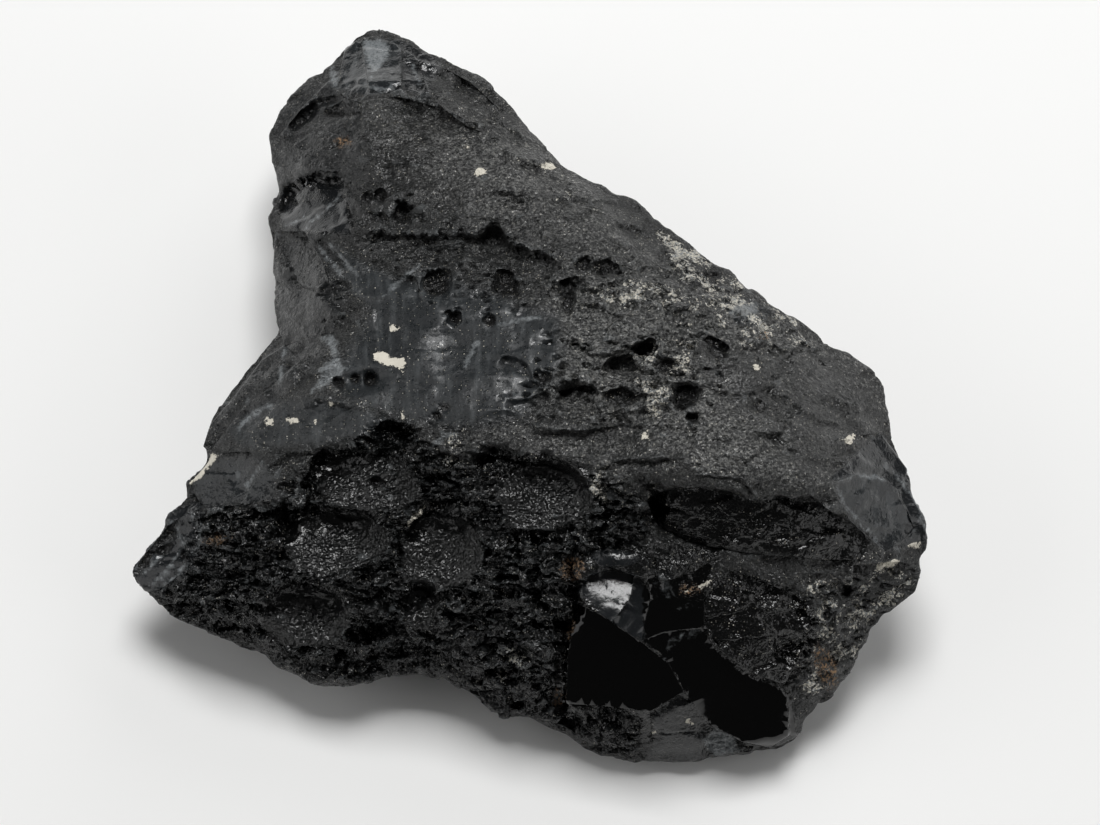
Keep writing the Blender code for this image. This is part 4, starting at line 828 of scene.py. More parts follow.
# Mineral spots and bruises: what it is, place, half width, half height and turn.
SPOTS = (
    ("cream", (-23.2, 12.7), 0.75, 0.6, 20),
    ("cream", (-42.0, -1.4), 0.82, 0.53, -20),
    ("cream", (-38.7, -1.1), 0.97, 0.53, 0),
    ("cream", (-32.4, 1.3), 0.53, 0.3, 0),
    ("cream", (-35.2, -1.4), 0.3, 0.3, 0),
    ("frost", (-40.4, 5.5), 0.38, 0.97, -10),
    ("frost", (-39.9, 8.9), 0.38, 0.67, -30),
    ("cream", (-22.1, -0.4), 0.38, 0.67, 0),
    ("cream", (-14.5, -0.1), 0.3, 0.3, 0),
    ("cream", (-10.5, 36.1), 1.05, 0.6, 10),
    ("cream", (-0.3, 37.0), 1.05, 0.6, -10),
    ("cream", (-4.8, 37.7), 0.53, 0.3, 0),
    ("cream", (-23.2, 43.4), 0.3, 0.22, 0),
    ("cream", (-20.2, 41.6), 0.22, 0.22, 0),
    ("cream", (-12.4, 40.0), 0.38, 0.22, 0),
    ("frost", (-32.4, 50.2), 0.6, 1.65, 10),
    ("cream", (54.8, -19.9), 1.05, 0.38, 0),
    ("rust", (-31.2, 40.6), 1.05, 0.82, 0),
    ("rust", (3.3, -23.5), 1.8, 1.8, 0),
    ("rust", (1.2, -42.7), 0.6, 1.35, 0),
    ("rust", (-49.9, -19.1), 1.65, 0.6, 0),
    ("rust", (32.2, 11.6), 0.75, 0.6, 0),
    ("rust", (41.4, -38.3), 1.5, 3.3, 20),
    ("rust", (21.0, -26.6), 1.5, 0.75, 0),
    ("cream", (31.0, 7.1), 0.53, 0.97, 0),
    ("cream", (20.4, 7.9), 0.45, 0.45, 0),
    ("cream", (14.2, -3.4), 0.53, 0.67, 0),
    ("cream", (21.0, -46.4), 0.75, 0.38, -40),
    ("cream", (15.8, -47.9), 0.6, 0.3, 30),
    ("frost", (29.2, 15.4), 2.25, 0.9, 10),
)

# The same, along a path: what it is, half width and path.
STREAKS = (
    ("frost", 0.3, ((-18.0, -5.3), (-16.2, -3.8), (-14.2, -3.2))),
    ("frost", 0.3, ((-12.8, 6.7), (-11.7, 9.4), (-10.5, 10.9))),
    ("frost", 0.22, ((-7.9, 13.1), (-4.5, 13.9), (-0.8, 14.3))),
    ("frost", 0.19, ((-19.5, 22.1), (-22.5, 19.9), (-25.5, 16.9))),
    ("frost", 0.26, ((-34.8, 25.1), (-30.8, 19.9))),
    ("frost", 0.19, ((-33.3, 25.4), (-28.5, 20.2))),
    ("frost", 0.15, ((-37.5, 27.1), (-33.0, 31.0), (-31.5, 32.5))),
    ("frost", 0.12, ((-39.6, 28.0), (-35.7, 29.5))),
    ("frost", 0.22, ((-27.9, 49.3), (-25.5, 48.4), (-22.8, 49.3))),
    ("frost", 0.19, ((-61.5, -24.8), (-58.5, -21.5), (-55.8, -17.6))),
    ("frost", 0.15, ((-60.0, -26.0), (-56.7, -22.7), (-54.3, -18.8))),
    ("frost", 0.15, ((-58.5, -26.6), (-55.5, -23.9), (-53.1, -20.3))),
    ("frost", 0.15, ((-21.0, 52.9), (-19.5, 49.1))),
    ("frost", 0.22, ((51.4, -8.6), (54.8, -13.1), (56.4, -17.6))),
    ("frost", 0.22, ((42.9, -10.4), (43.8, -13.1), (45.9, -15.8), (49.5, -19.7))),
    ("frost", 0.19, ((43.2, -10.3), (46.8, -9.5), (50.7, -10.1))),
    ("cream", 0.45, ((48.6, -23.3), (52.5, -22.4))),
    ("frost", 0.38, ((-56.7, -14.6), (-54.9, -12.8))),
    ("frost", 0.3, ((-62.4, -23.6), (-58.5, -18.5))),
    ("frost", 0.3, ((-57.3, -16.1), (-55.8, -17.6), (-55.0, -20.6))),
    ("frost", 0.22, ((-54.0, -14.9), (-52.5, -17.6), (-52.8, -20.9))),
    ("frost", 0.22, ((-45.8, -11.6), (-43.8, -8.6), (-43.2, -7.4))),
    ("rust", 0.38, ((3.3, -31.1), (2.7, -34.1))),
    ("cream", 0.15, ((-54.6, -34.1), (-54.4, -34.0))),
    ("cream", 0.3, ((20.1, -26.9), (22.5, -26.3), (24.3, -25.1))),
    ("frost", 0.22, ((15.0, -24.4), (18.0, -27.7))),
    ("frost", 0.19, ((16.2, -24.2), (18.9, -27.5))),
    ("frost", 0.17, ((17.1, -37.1), (18.3, -34.1), (20.7, -33.1), (22.8, -32.8))),
    ("frost", 0.14, ((18.0, -34.9), (19.5, -33.5), (22.5, -33.2))),
    ("frost", 0.12, ((18.9, -29.9), (21.0, -29.0), (22.8, -29.6))),
    ("cream", 0.22, ((-18.8, -14.3), (-20.7, -16.1), (-22.2, -17.9))),
)

# The same, as an outline.
PATCHES = (
    ("cream", (
        (-26.8, 8.8), (-25.8, 9.2), (-24.6, 9.2), (-24.0, 8.3), (-22.1, 8.3), (-21.4, 6.1),
        (-22.3, 6.2), (-23.7, 7.0), (-25.8, 7.3),
    )),
    ("frost", (
        (-34.5, 11.3), (-33.0, 11.6), (-31.9, 10.7), (-31.8, 9.1), (-31.3, 7.0), (-30.0, 6.7),
        (-31.3, 5.6), (-33.3, 4.4), (-34.8, 3.2), (-35.9, 2.8), (-34.6, 5.2), (-34.4, 6.7),
        (-33.0, 7.7), (-32.7, 8.8), (-33.4, 10.1),
    )),
    ("frost", (
        (-47.1, -2.3), (-45.0, 0.1), (-42.3, 1.3), (-41.2, 1.1), (-43.2, 0.1), (-45.6, -1.7),
        (-46.8, -2.9),
    )),
    ("frost", (
        (-28.1, 55.9), (-25.9, 56.2), (-24.0, 55.1), (-24.3, 53.2), (-25.8, 51.4), (-26.7, 49.6),
        (-27.4, 52.0),
    )),
    ("cream", (
        (-54.6, -10.4), (-52.5, -8.0), (-50.4, -6.2), (-49.5, -6.5), (-51.4, -8.6), (-53.7, -11.0),
    )),
    ("cream", ((43.5, -4.1), (45.9, -2.9), (45.3, -4.9))),
    ("frost", ((22.9, -49.1), (24.8, -47.3), (27.8, -49.1), (28.5, -50.9), (25.2, -51.5), (23.4, -50.6))),
)

# How far from its edge, in millimetres, the strength of a spot is still told.
SPOT_REACH = 3.0

# Hollows up to this half width are pits. Shade is painted dark inside them up to this share of the way to
# their rim.
SMALL_PIT = 3.0
PIT_SHADE = 0.75


def linear(code):
    """A colour's sRGB hex code as linear red, green, blue and alpha."""
    parts = [int(code[place:place + 2], 16) / 255.0 for place in (1, 3, 5)]
    return tuple(p / 12.92 if p <= 0.04045 else ((p + 0.055) / 1.055) ** 2.4 for p in parts) + (1.0,)


class StoneSizes(PropertyGroup):
    """How finely the stone is made, and how rough its skin is."""

    rows: IntProperty(
        name="Rows", description="Rows of faces along a side of the cube that the stone starts from",
        default=250, min=20, max=300,
    )
    face_size: FloatProperty(
        name="Face size", description="Size of the even faces that the stone is covered with",
        default=0.00026, min=0.0002, unit="LENGTH", subtype="DISTANCE",
    )
    triangles: IntProperty(
        name="Triangles", description="Triangles kept after flat stretches are thinned",
        default=392000, min=10000, max=400000,
    )
    layer_height: FloatProperty(
        name="Layer height", description="How far the broken flow layers stand out",
        default=0.00064, unit="LENGTH", subtype="DISTANCE",
    )
    layer_width: FloatProperty(
        name="Layer width", description="Width of the broken flow layers",
        default=0.0042, unit="LENGTH", subtype="DISTANCE",
    )
    pit_depth: FloatProperty(
        name="Pit depth", description="Depth of the small gas pits",
        default=0.0005, unit="LENGTH", subtype="DISTANCE",
    )
    pit_width: FloatProperty(
        name="Pit width", description="Spacing of the small gas pits",
        default=0.0019, unit="LENGTH", subtype="DISTANCE",
    )
    skin_height: FloatProperty(
        name="Skin height", description="How rough the weathered skin is",
        default=0.00016, unit="LENGTH", subtype="DISTANCE",
    )
    skin_width: FloatProperty(
        name="Skin width", description="Width of the weathered skin's lumps",
        default=0.0016, unit="LENGTH", subtype="DISTANCE",
    )


class StoneColours(PropertyGroup):
    """Colours of the glass, its skin and what has settled on it."""

    # Also the black that shade is painted in: in the dark zones, small pits and creases.
    glass: FloatVectorProperty(
        name="Glass", description="Freshly broken glass", subtype="COLOR", size=4, min=0.0, max=1.0,
        default=linear("#020202"),
    )
    skin: FloatVectorProperty(
        name="Skin", description="Weathered skin", subtype="COLOR", size=4, min=0.0, max=1.0,
        default=linear("#151616"),
    )
    dust: FloatVectorProperty(
        name="Dust", description="Worn and dusty parts of the skin", subtype="COLOR", size=4, min=0.0,
        max=1.0, default=linear("#646462"),
    )
    waxy: FloatVectorProperty(
        name="Waxy glass", description="Worn smooth glass with flow bands", subtype="COLOR", size=4,
        min=0.0, max=1.0, default=linear("#1c1f21"),
    )
    banded: FloatVectorProperty(
        name="Banded glass", description="Older smooth breaks", subtype="COLOR", size=4, min=0.0, max=1.0,
        default=linear("#17191b"),
    )
    bruise: FloatVectorProperty(
        name="Bruise", description="Bruised and frosted glass", subtype="COLOR", size=4, min=0.0, max=1.0,
        default=linear("#7a7e80"),
    )
    # Also the colour of the tiny pale specks, partly painted glints.
    mineral: FloatVectorProperty(
        name="Mineral", description="Cream mineral crust", subtype="COLOR", size=4, min=0.0, max=1.0,
        default=linear("#cfcabd"),
    )
    rust: FloatVectorProperty(
        name="Rust", description="Ochre deposit", subtype="COLOR", size=4, min=0.0, max=1.0,
        default=linear("#94785c"),
    )


class StageSettings(PropertyGroup):
    """The floor, the lights and the camera."""

    frame_width: FloatProperty(
        name="Frame width", description="Width of the picture at the middle of the stone",
        default=0.165, unit="LENGTH", subtype="DISTANCE",
    )
    floor: FloatVectorProperty(
        name="Floor", description="Pale matte floor", subtype="COLOR", size=4, min=0.0, max=1.0,
        default=linear("#f1f1f0"),
    )


def reach_of(up, height):
    """How far a place of this height stands out of the board."""
    return (height - MIDDLE_HEIGHT - up * COSINE) / (SINE - up * COSINE / SIGHT)


def world_of(across, up, reach):
    """World places, in millimetres, of places on the board."""
    drawn_in = 1.0 - reach / SIGHT
    risen = up * drawn_in
    return np.column_stack((
        across * drawn_in + SHIFT[0],
        risen * SINE - reach * COSINE + SHIFT[1],
        risen * COSINE + reach * SINE + MIDDLE_HEIGHT,
    ))


def board_of(places):
    """Across, up and reach of world places, in millimetres."""
    x = places[:, 0] - SHIFT[0]
    y = places[:, 1] - SHIFT[1]
    height = places[:, 2]
    risen = y * SINE + (height - MIDDLE_HEIGHT) * COSINE
    reach = (height - MIDDLE_HEIGHT) * SINE - y * COSINE
    drawn_in = 1.0 - reach / SIGHT
    return x / drawn_in, risen / drawn_in, reach


def smooth(low, high, value):
    """Zero at low, one at high, and an eased step between."""
    share = np.clip((value - low) / (high - low), 0.0, 1.0)
    return share * share * (3.0 - 2.0 * share)


def rounded(distance):
    """The spline's kernel: a cone with a rounded tip, which leaves nearly flat facets between its points."""
    return np.sqrt(distance * distance + TIP_ROUNDING ** 2)


class Sheet:
    """A surface over the board that passes through given places."""

    def __init__(self, places):
        places = np.array(places)
        self.spots = places[:, :2]
        count = len(places)
        gaps = np.linalg.norm(self.spots[:, None] - self.spots[None, :], axis=2)
        system = np.zeros((count + 3, count + 3))
        system[:count, :count] = rounded(gaps)
        system[:count, count] = 1.0
        system[:count, count + 1:] = self.spots
        system[count, :count] = 1.0
        system[count + 1:, :count] = self.spots.T
        self.weights = np.linalg.solve(system, np.append(places[:, 2], (0.0, 0.0, 0.0)))

    def reach(self, across, up):
        total = self.weights[-3] + self.weights[-2] * across + self.weights[-1] * up
        for (x, y), weight in zip(self.spots, self.weights):
            total = total + weight * rounded(np.hypot(across - x, up - y))
        return total


def along_path(across, up, path):
    """Distance to a path, negative on its left, and the share of the path's length at the nearest place."""
    lengths = [math.dist(a, b) for a, b in zip(path, path[1:])]
    nearest = np.full(across.shape, np.inf)
    side = np.ones(across.shape)
    share = np.zeros(across.shape)
    passed = 0.0
    for (ax, ay), (bx, by), length in zip(path, path[1:], lengths):
        dx = (bx - ax) / length
        dy = (by - ay) / length
        run = np.clip((across - ax) * dx + (up - ay) * dy, 0.0, length)
        distance = np.hypot(across - ax - run * dx, up - ay - run * dy)
        closer = distance < nearest
        nearest = np.where(closer, distance, nearest)
        side = np.where(closer, np.where((across - ax) * dy > (up - ay) * dx, 1.0, -1.0), side)
        share = np.where(closer, (passed + run) / sum(lengths), share)
        passed += length
    return nearest * side, share


def fading(share):
    """One along a path, falling to nothing at its two ends."""
    return smooth(0.0, END_FADE, share) * smooth(0.0, END_FADE, 1.0 - share)


def depth_inside(across, up, outline):
    """How far inside an outline each place lies, negative outside."""
    closed = tuple(outline) + (outline[0],)
    distance, _ = along_path(across, up, closed)
    within = np.zeros(across.shape, bool)
    for (ax, ay), (bx, by) in zip(closed, closed[1:]):
        if ay != by:
            within ^= ((ay > up) != (by > up)) & (across < (bx - ax) * (up - ay) / (by - ay) + ax)
    return np.where(within, np.abs(distance), -np.abs(distance))


def turned(across, up, place, half_width, half_height, turn):
    """Place within a turned oval, whose rim is at one."""
    cosine = math.cos(math.radians(turn))
    sine = math.sin(math.radians(turn))
    x = (across - place[0]) * cosine + (up - place[1]) * sine
    y = (up - place[1]) * cosine - (across - place[0]) * sine
    return x / half_width, y / half_height


def lumps(across, up, reach, width):
    """Fractal noise of about this width, from -1 to 1."""
    places = np.column_stack((across, up, reach)) / width
    return np.array([noise.fractal(Vector(p), NOISE_HARDNESS, NOISE_STEP, NOISE_LAYERS) for p in places])


class Board:
    """Places on the board, the sheet under them, and the relief that has been added to it so far."""

    def __init__(self, across, up, sheet):
        self.sheet = sheet
        self.reach = sheet.reach(across, up)
        self.relief = LUMP_HEIGHT * lumps(across, up, self.reach, LUMP_WIDTH)
        self.across = across
        self.up = up

    def wander(self):
        """Moves the places to and fro, so that what is drawn next has wandering edges."""
        level = np.zeros(self.across.shape)
        across = self.across.copy()
        up = self.up.copy()
        for move, width in WANDERS:
            across += move * lumps(self.across, self.up, level, width)
            up += move * lumps(self.up, self.across, level, width)
        self.across = across
        self.up = up

    def near(self, places, margin):
        """Which places lie within this margin of a path, and where they are."""
        low = np.min(places, axis=0) - margin
        high = np.max(places, axis=0) + margin
        close = (self.across > low[0]) & (self.across < high[0]) & (self.up > low[1]) & (self.up < high[1])
        chosen = np.flatnonzero(close)
        return chosen, self.across[chosen], self.up[chosen]

    def facet(self, sunk, scoop, climb_across, climb_up, outline):
        """Breaks the stone flat inside an outline, with a scoop and ripples."""
        chosen, across, up = self.near(outline, FACET_MARGIN)
        corners = np.array(outline)
        middle = corners.mean(axis=0)
        size = np.hypot(*(corners - middle).T).mean()
        out = np.hypot(across - middle[0], up - middle[1]) / size
        flat = self.sheet.reach(corners[:, 0], corners[:, 1]).mean() - sunk
        flat = flat + climb_across * (across - middle[0]) + climb_up * (up - middle[1])
        flat -= scoop * np.clip(1.0 - out * out, SCOOP_LIMIT, 1.0)
        run = np.hypot(across - corners[0][0], up - corners[0][1])
        flat += RIPPLE_HEIGHT * np.sin(2.0 * math.pi * np.sqrt(run / size) * size / RIPPLE_SPACING)
        share = smooth(-FACET_EDGE, FACET_EDGE, depth_inside(across, up, outline))
        old = self.relief[chosen]
        new = flat - self.reach[chosen] + FACET_KEEPS * old
        self.relief[chosen] = old + share * (new - old)

    def ledge(self, drop, lasts, lip, path):
        chosen, across, up = self.near(path, LEDGE_REACH * lasts)
        distance, share = along_path(across, up, path)
        fall = smooth(-LIP_BEFORE * lip, lip, distance)
        fall *= np.exp(-(np.maximum(distance, 0.0) / lasts) ** 2)
        self.relief[chosen] -= drop * fall * fading(share)

    def crack(self, width, depth, path):
        chosen, across, up = self.near(path, CRACK_REACH * width)
        distance, share = along_path(across, up, path)
        self.relief[chosen] -= depth * np.exp(-(distance / width) ** 2) * fading(share)

    def crest(self, height, width, path):
        chosen, across, up = self.near(path, CREST_REACH * width)
        distance, share = along_path(across, up, path)
        self.relief[chosen] += height * np.exp(-np.abs(distance) / width) * fading(share)

    def hollow(self, place, half_width, half_height, turn, depth, steepness, lean, aside=0.0):
        chosen, across, up = self.near([place], max(half_width, half_height))
        x, y = turned(across, up, place, half_width, half_height, turn)
        bowl = np.maximum(1.0 - x * x - y * y, 0.0) ** steepness
        self.relief[chosen] -= depth * bowl * np.maximum(1.0 + lean * y + aside * x, 0.0)

    def lobe(self, place, half_width, half_height, turn, height):
        chosen, across, up = self.near([place], LOBE_REACH * max(half_width, half_height))
        x, y = turned(across, up, place, half_width, half_height, turn)
        self.relief[chosen] += height * np.exp(-(x * x + y * y))


def rim_radius(angle):
    """How far the rim lies from the centre in this direction, and its reach there."""
    rim = np.array([(x - CENTRE[0], y - CENTRE[1], reach_of(y, height)) for x, y, height in OUTLINE])
    runs = np.roll(rim, -1, axis=0) - rim
    radius = np.zeros(angle.shape)
    reach = np.zeros(angle.shape)
    cosine = np.cos(angle)
    sine = np.sin(angle)
    for start, run in zip(rim, runs):
        crossing = cosine * run[1] - sine * run[0]
        safe = np.where(np.abs(crossing) < PARALLEL, PARALLEL, crossing)
        share = (sine * start[0] - cosine * start[1]) / safe
        distance = (start[0] * run[1] - start[1] * run[0]) / safe
        hit = (share >= 0.0) & (share <= 1.0) & (distance > 0.0)
        radius = np.where(hit, distance, radius)
        reach = np.where(hit, start[2] + share * run[2], reach)
    return radius, reach


def front_sheet():
    return Sheet([(x, y, reach_of(y, height)) for x, y, height in OUTLINE + BODY])


def back_sheet():
    rim = [(x, y, reach_of(y, height)) for x, y, height in OUTLINE]
    under = np.array(UNDERSIDE) + (SHIFT[0], SHIFT[1], 0.0)
    return Sheet(rim + list(zip(*board_of(under))))


def front_of(across, up):
    """Reach of the side that faces the sight point, without and with its relief."""
    board = Board(across, up, front_sheet())
    for facet in FACETS:
        board.facet(*facet)
    board.wander()
    for step in LEDGES:
        board.ledge(*step)
    for bowl in HOLLOWS:
        board.hollow(*bowl)
    for crack in CRACKS:
        board.crack(*crack)
    for crest in CRESTS:
        board.crest(*crest)
    for swelling in LOBES:
        board.lobe(*swelling)
    return board.reach, board.relief


def back_of(across, up):
    """Reach of the side that faces away, without and with its relief."""
    board = Board(across, up, back_sheet())
    board.wander()
    for place, half_width, half_height, turn, depth in BACK_SCARS:
        board.hollow(place, half_width, half_height, turn, -depth, SCAR_STEEPNESS, 0.0)
    return board.reach, board.relief


def disc_of(cube):
    """Each vertex of the cube as an angle and a share of the way from the centre to the rim, and its sheet.

    The cube's top opens out into the middle of the front and its bottom into the middle of the back. The
    rows of its sides above the rim's go on outward in front, and those below it come back in behind.
    """
    x, y, z = cube.T
    ring = np.maximum(np.abs(x), np.abs(y))
    wide = np.abs(x) >= np.abs(y)
    quarter = math.pi / 4.0
    with np.errstate(divide="ignore", invalid="ignore"):
        from_x = np.where(ring > 0.0, quarter * y / x, 0.0) + np.where(x < 0.0, math.pi, 0.0)
        from_y = np.where(ring > 0.0, -quarter * x / y, 0.0) + np.where(y < 0.0, -0.5, 0.5) * math.pi
    angle = np.where(wide, from_x, from_y)
    angle = np.where(ring > 0.0, angle, 0.0)
    rows = bpy.context.scene.stone_sizes.rows
    rim = 1.0 - 2.0 * round(RIM_SHARE * rows) / rows
    front = z >= rim - NEARLY
    to_rim = np.where(front, (1.0 - z) / (1.0 - rim), (1.0 + z) / (1.0 + rim))
    outer = np.sqrt(TOP_SHARE ** 2 + (1.0 - TOP_SHARE ** 2) * np.clip(to_rim, 0.0, 1.0))
    share = np.where(np.abs(z) > 1.0 - NEARLY, TOP_SHARE * ring, outer)
    return angle, share, front


def stone_places(cube):
    """Where each vertex of the cube goes, in millimetres."""
    angle, share, front = disc_of(cube)
    radius, rim_reach = rim_radius(angle)
    ring = np.column_stack((radius * np.cos(angle), radius * np.sin(angle)))
    radius = radius + RIM_NICK * lumps(ring[:, 0], ring[:, 1], rim_reach, RIM_NICK_WIDTH) - 0.5 * RIM_NICK
    across = CENTRE[0] + share * radius * np.cos(angle)
    up = CENTRE[1] + share * radius * np.sin(angle)
    inward = (1.0 - share) * EDGE_GROWTH
    fade = smooth(0.0, RELIEF_START, inward)
    reach, relief = front_of(across, up)
    facing = reach + fade * relief
    reach, relief = back_of(across, up)
    away = np.maximum(reach + fade * relief, reach_of(up, 0.0))
    away = np.minimum(away, facing - np.minimum(inward, THINNEST))
    on_rim = share > 1.0 - NEARLY
    chosen = np.where(on_rim, rim_reach, np.where(front, facing, away))
    places = world_of(across, up, chosen)
    places[:, 2] = np.maximum(places[:, 2], 0.0)
    return places


def front_share(across, up, reach):
    """One on the side that faces the sight point, zero on the side that faces away."""
    facing, away = (sheet.reach(across, up) for sheet in (front_sheet(), back_sheet()))
    return smooth(-SIDE_BLEND, SIDE_BLEND, reach - 0.5 * (facing + away))


def set_values(mesh, name, values):
    """Stores one number on each vertex."""
    layer = mesh.attributes.get(name) or mesh.attributes.new(name, "FLOAT", "POINT")
    layer.data.foreach_set("value", np.asarray(values, np.float32))


def get_places(mesh):
    places = np.empty(len(mesh.vertices) * 3, np.float32)
    mesh.vertices.foreach_get("co", places)
    return places.reshape(-1, 3).astype(float)


def set_places(mesh, places):
    mesh.vertices.foreach_set("co", np.asarray(places, np.float32).ravel())
    mesh.update()


def zone_values(across, up):
    """Strength of each area finish at each place, including the painted shade of the dark zones."""
    found = {}
    for kind, strength, edge, outline in ZONES:
        values = found.setdefault(kind, np.zeros(across.shape))
        close = near_box(across, up, outline, 2.0 * edge)
        share = smooth(-edge, edge, depth_inside(across[close], up[close], outline))
        values[close] = np.maximum(values[close], strength * share)
    return found


def near_box(across, up, places, margin):
    """Which places lie within this margin of a path."""
    places = np.array(places)
    low = places.min(axis=0) - margin
    high = places.max(axis=0) + margin
    return np.flatnonzero((across > low[0]) & (across < high[0]) & (up > low[1]) & (up < high[1]))


def spot_values(across, up):
    """How far inside a spot of each kind every place lies, in millimetres, down to minus SPOT_REACH."""
    found = {kind: np.full(across.shape, -SPOT_REACH) for kind in ("cream", "frost", "rust")}
    for kind, place, half_width, half_height, turn in SPOTS:
        close = near_box(across, up, [place], max(half_width, half_height) + SPOT_REACH)
        x, y = turned(across[close], up[close], place, half_width, half_height, turn)
        depth = (1.0 - np.hypot(x, y)) * min(half_width, half_height)
        found[kind][close] = np.maximum(found[kind][close], depth)
    for kind, half_width, path in STREAKS:
        close = near_box(across, up, path, half_width + SPOT_REACH)
        distance, share = along_path(across[close], up[close], path)
        depth = half_width * fading(share) - np.abs(distance)
        found[kind][close] = np.maximum(found[kind][close], depth)
    for kind, outline in PATCHES:
        close = near_box(across, up, outline, SPOT_REACH)
        depth = depth_inside(across[close], up[close], outline)
        found[kind][close] = np.maximum(found[kind][close], depth)
    return found


def pit_shade_values(across, up):
    """Painted shade inside the small pits: one inside each small pit, zero outside."""
    values = np.zeros(across.shape)
    for place, half_width, half_height, turn, *_ in HOLLOWS:
        if max(half_width, half_height) > SMALL_PIT:
            continue
        close = near_box(across, up, [place], max(half_width, half_height))
        x, y = turned(across[close], up[close], place, half_width, half_height, turn)
        values[close] = np.maximum(values[close], smooth(1.0, PIT_SHADE, np.hypot(x, y)))
    return values


def add_node(tree, kind, settings=(), **inputs):
    """Adds a node with its settings, and fills its inputs with values or links. An input's name has its
    spaces as underscores, and one that is found by number starts with n."""
    made = tree.nodes.new(kind)
    for name, value in dict(settings).items():
        setattr(made, name, value)
    for name, value in inputs.items():
        socket = made.inputs[int(name[1:])] if name[1:].isdigit() else made.inputs[name.replace("_", " ")]
        if isinstance(value, bpy.types.NodeSocket):
            tree.links.new(value, socket)
        else:
            socket.default_value = value
    return made


def maths(tree, operation, first, second=0.0, clamp=False):
    settings = {"operation": operation, "use_clamp": clamp}
    return add_node(tree, "ShaderNodeMath", settings, n0=first, n1=second).outputs[0]


def vectors(tree, operation, first, second):
    return add_node(tree, "ShaderNodeVectorMath", {"operation": operation}, n0=first, n1=second)


def scaled(tree, vector, amount):
    made = add_node(tree, "ShaderNodeVectorMath", {"operation": "SCALE"}, n0=vector, Scale=amount)
    return made.outputs[0]


def ramp(tree, value, low, high, start=0.0, end=1.0):
    """Goes smoothly from start to end as the value goes from low to high."""
    made = add_node(
        tree, "ShaderNodeMapRange", {"interpolation_type": "SMOOTHSTEP"},
        n0=value, n1=low, n2=high, n3=start, n4=end,
    )
    return made.outputs[0]


def per_metre(tree, width):
    """Texture scale of a pattern this many metres wide."""
    return maths(tree, "DIVIDE", 1.0, width)


def cloud(tree, places, width, detail=4.0, roughness=0.55):
    """Cloudy noise from about -0.5 to 0.5."""
    made = add_node(
        tree, "ShaderNodeTexNoise", Vector=places, Scale=per_metre(tree, width), Detail=detail,
        Roughness=roughness,
    )
    return maths(tree, "SUBTRACT", made.outputs[0], 0.5)


def shaken(tree, places, width, move, detail=1.0):
    """The places moved to and fro, which makes the cells drawn with them ragged."""
    made = add_node(
        tree, "ShaderNodeTexNoise", Vector=places, Scale=per_metre(tree, width), Detail=detail
    )
    around = vectors(tree, "SUBTRACT", made.outputs["Color"], (0.5, 0.5, 0.5)).outputs[0]
    return vectors(tree, "ADD", places, scaled(tree, around, move)).outputs[0]


def chips(tree, places, width, step, lean, rounding):
    """Height of small flat breaks: each cell stands higher or lower by step and leans its own way."""
    cell = add_node(
        tree, "ShaderNodeTexVoronoi", {"feature": "SMOOTH_F1"}, Vector=places,
        Scale=per_metre(tree, width), Smoothness=rounding,
    )
    own = vectors(tree, "SUBTRACT", cell.outputs["Color"], (0.5, 0.5, 0.5)).outputs[0]
    away = vectors(tree, "SUBTRACT", places, cell.outputs["Position"]).outputs[0]
    slope = maths(tree, "MULTIPLY", vectors(tree, "DOT_PRODUCT", own, away).outputs["Value"], lean)
    level = maths(tree, "MULTIPLY", vectors(tree, "DOT_PRODUCT", own, LEVEL_MIX).outputs["Value"], step)
    return maths(tree, "ADD", slope, level)


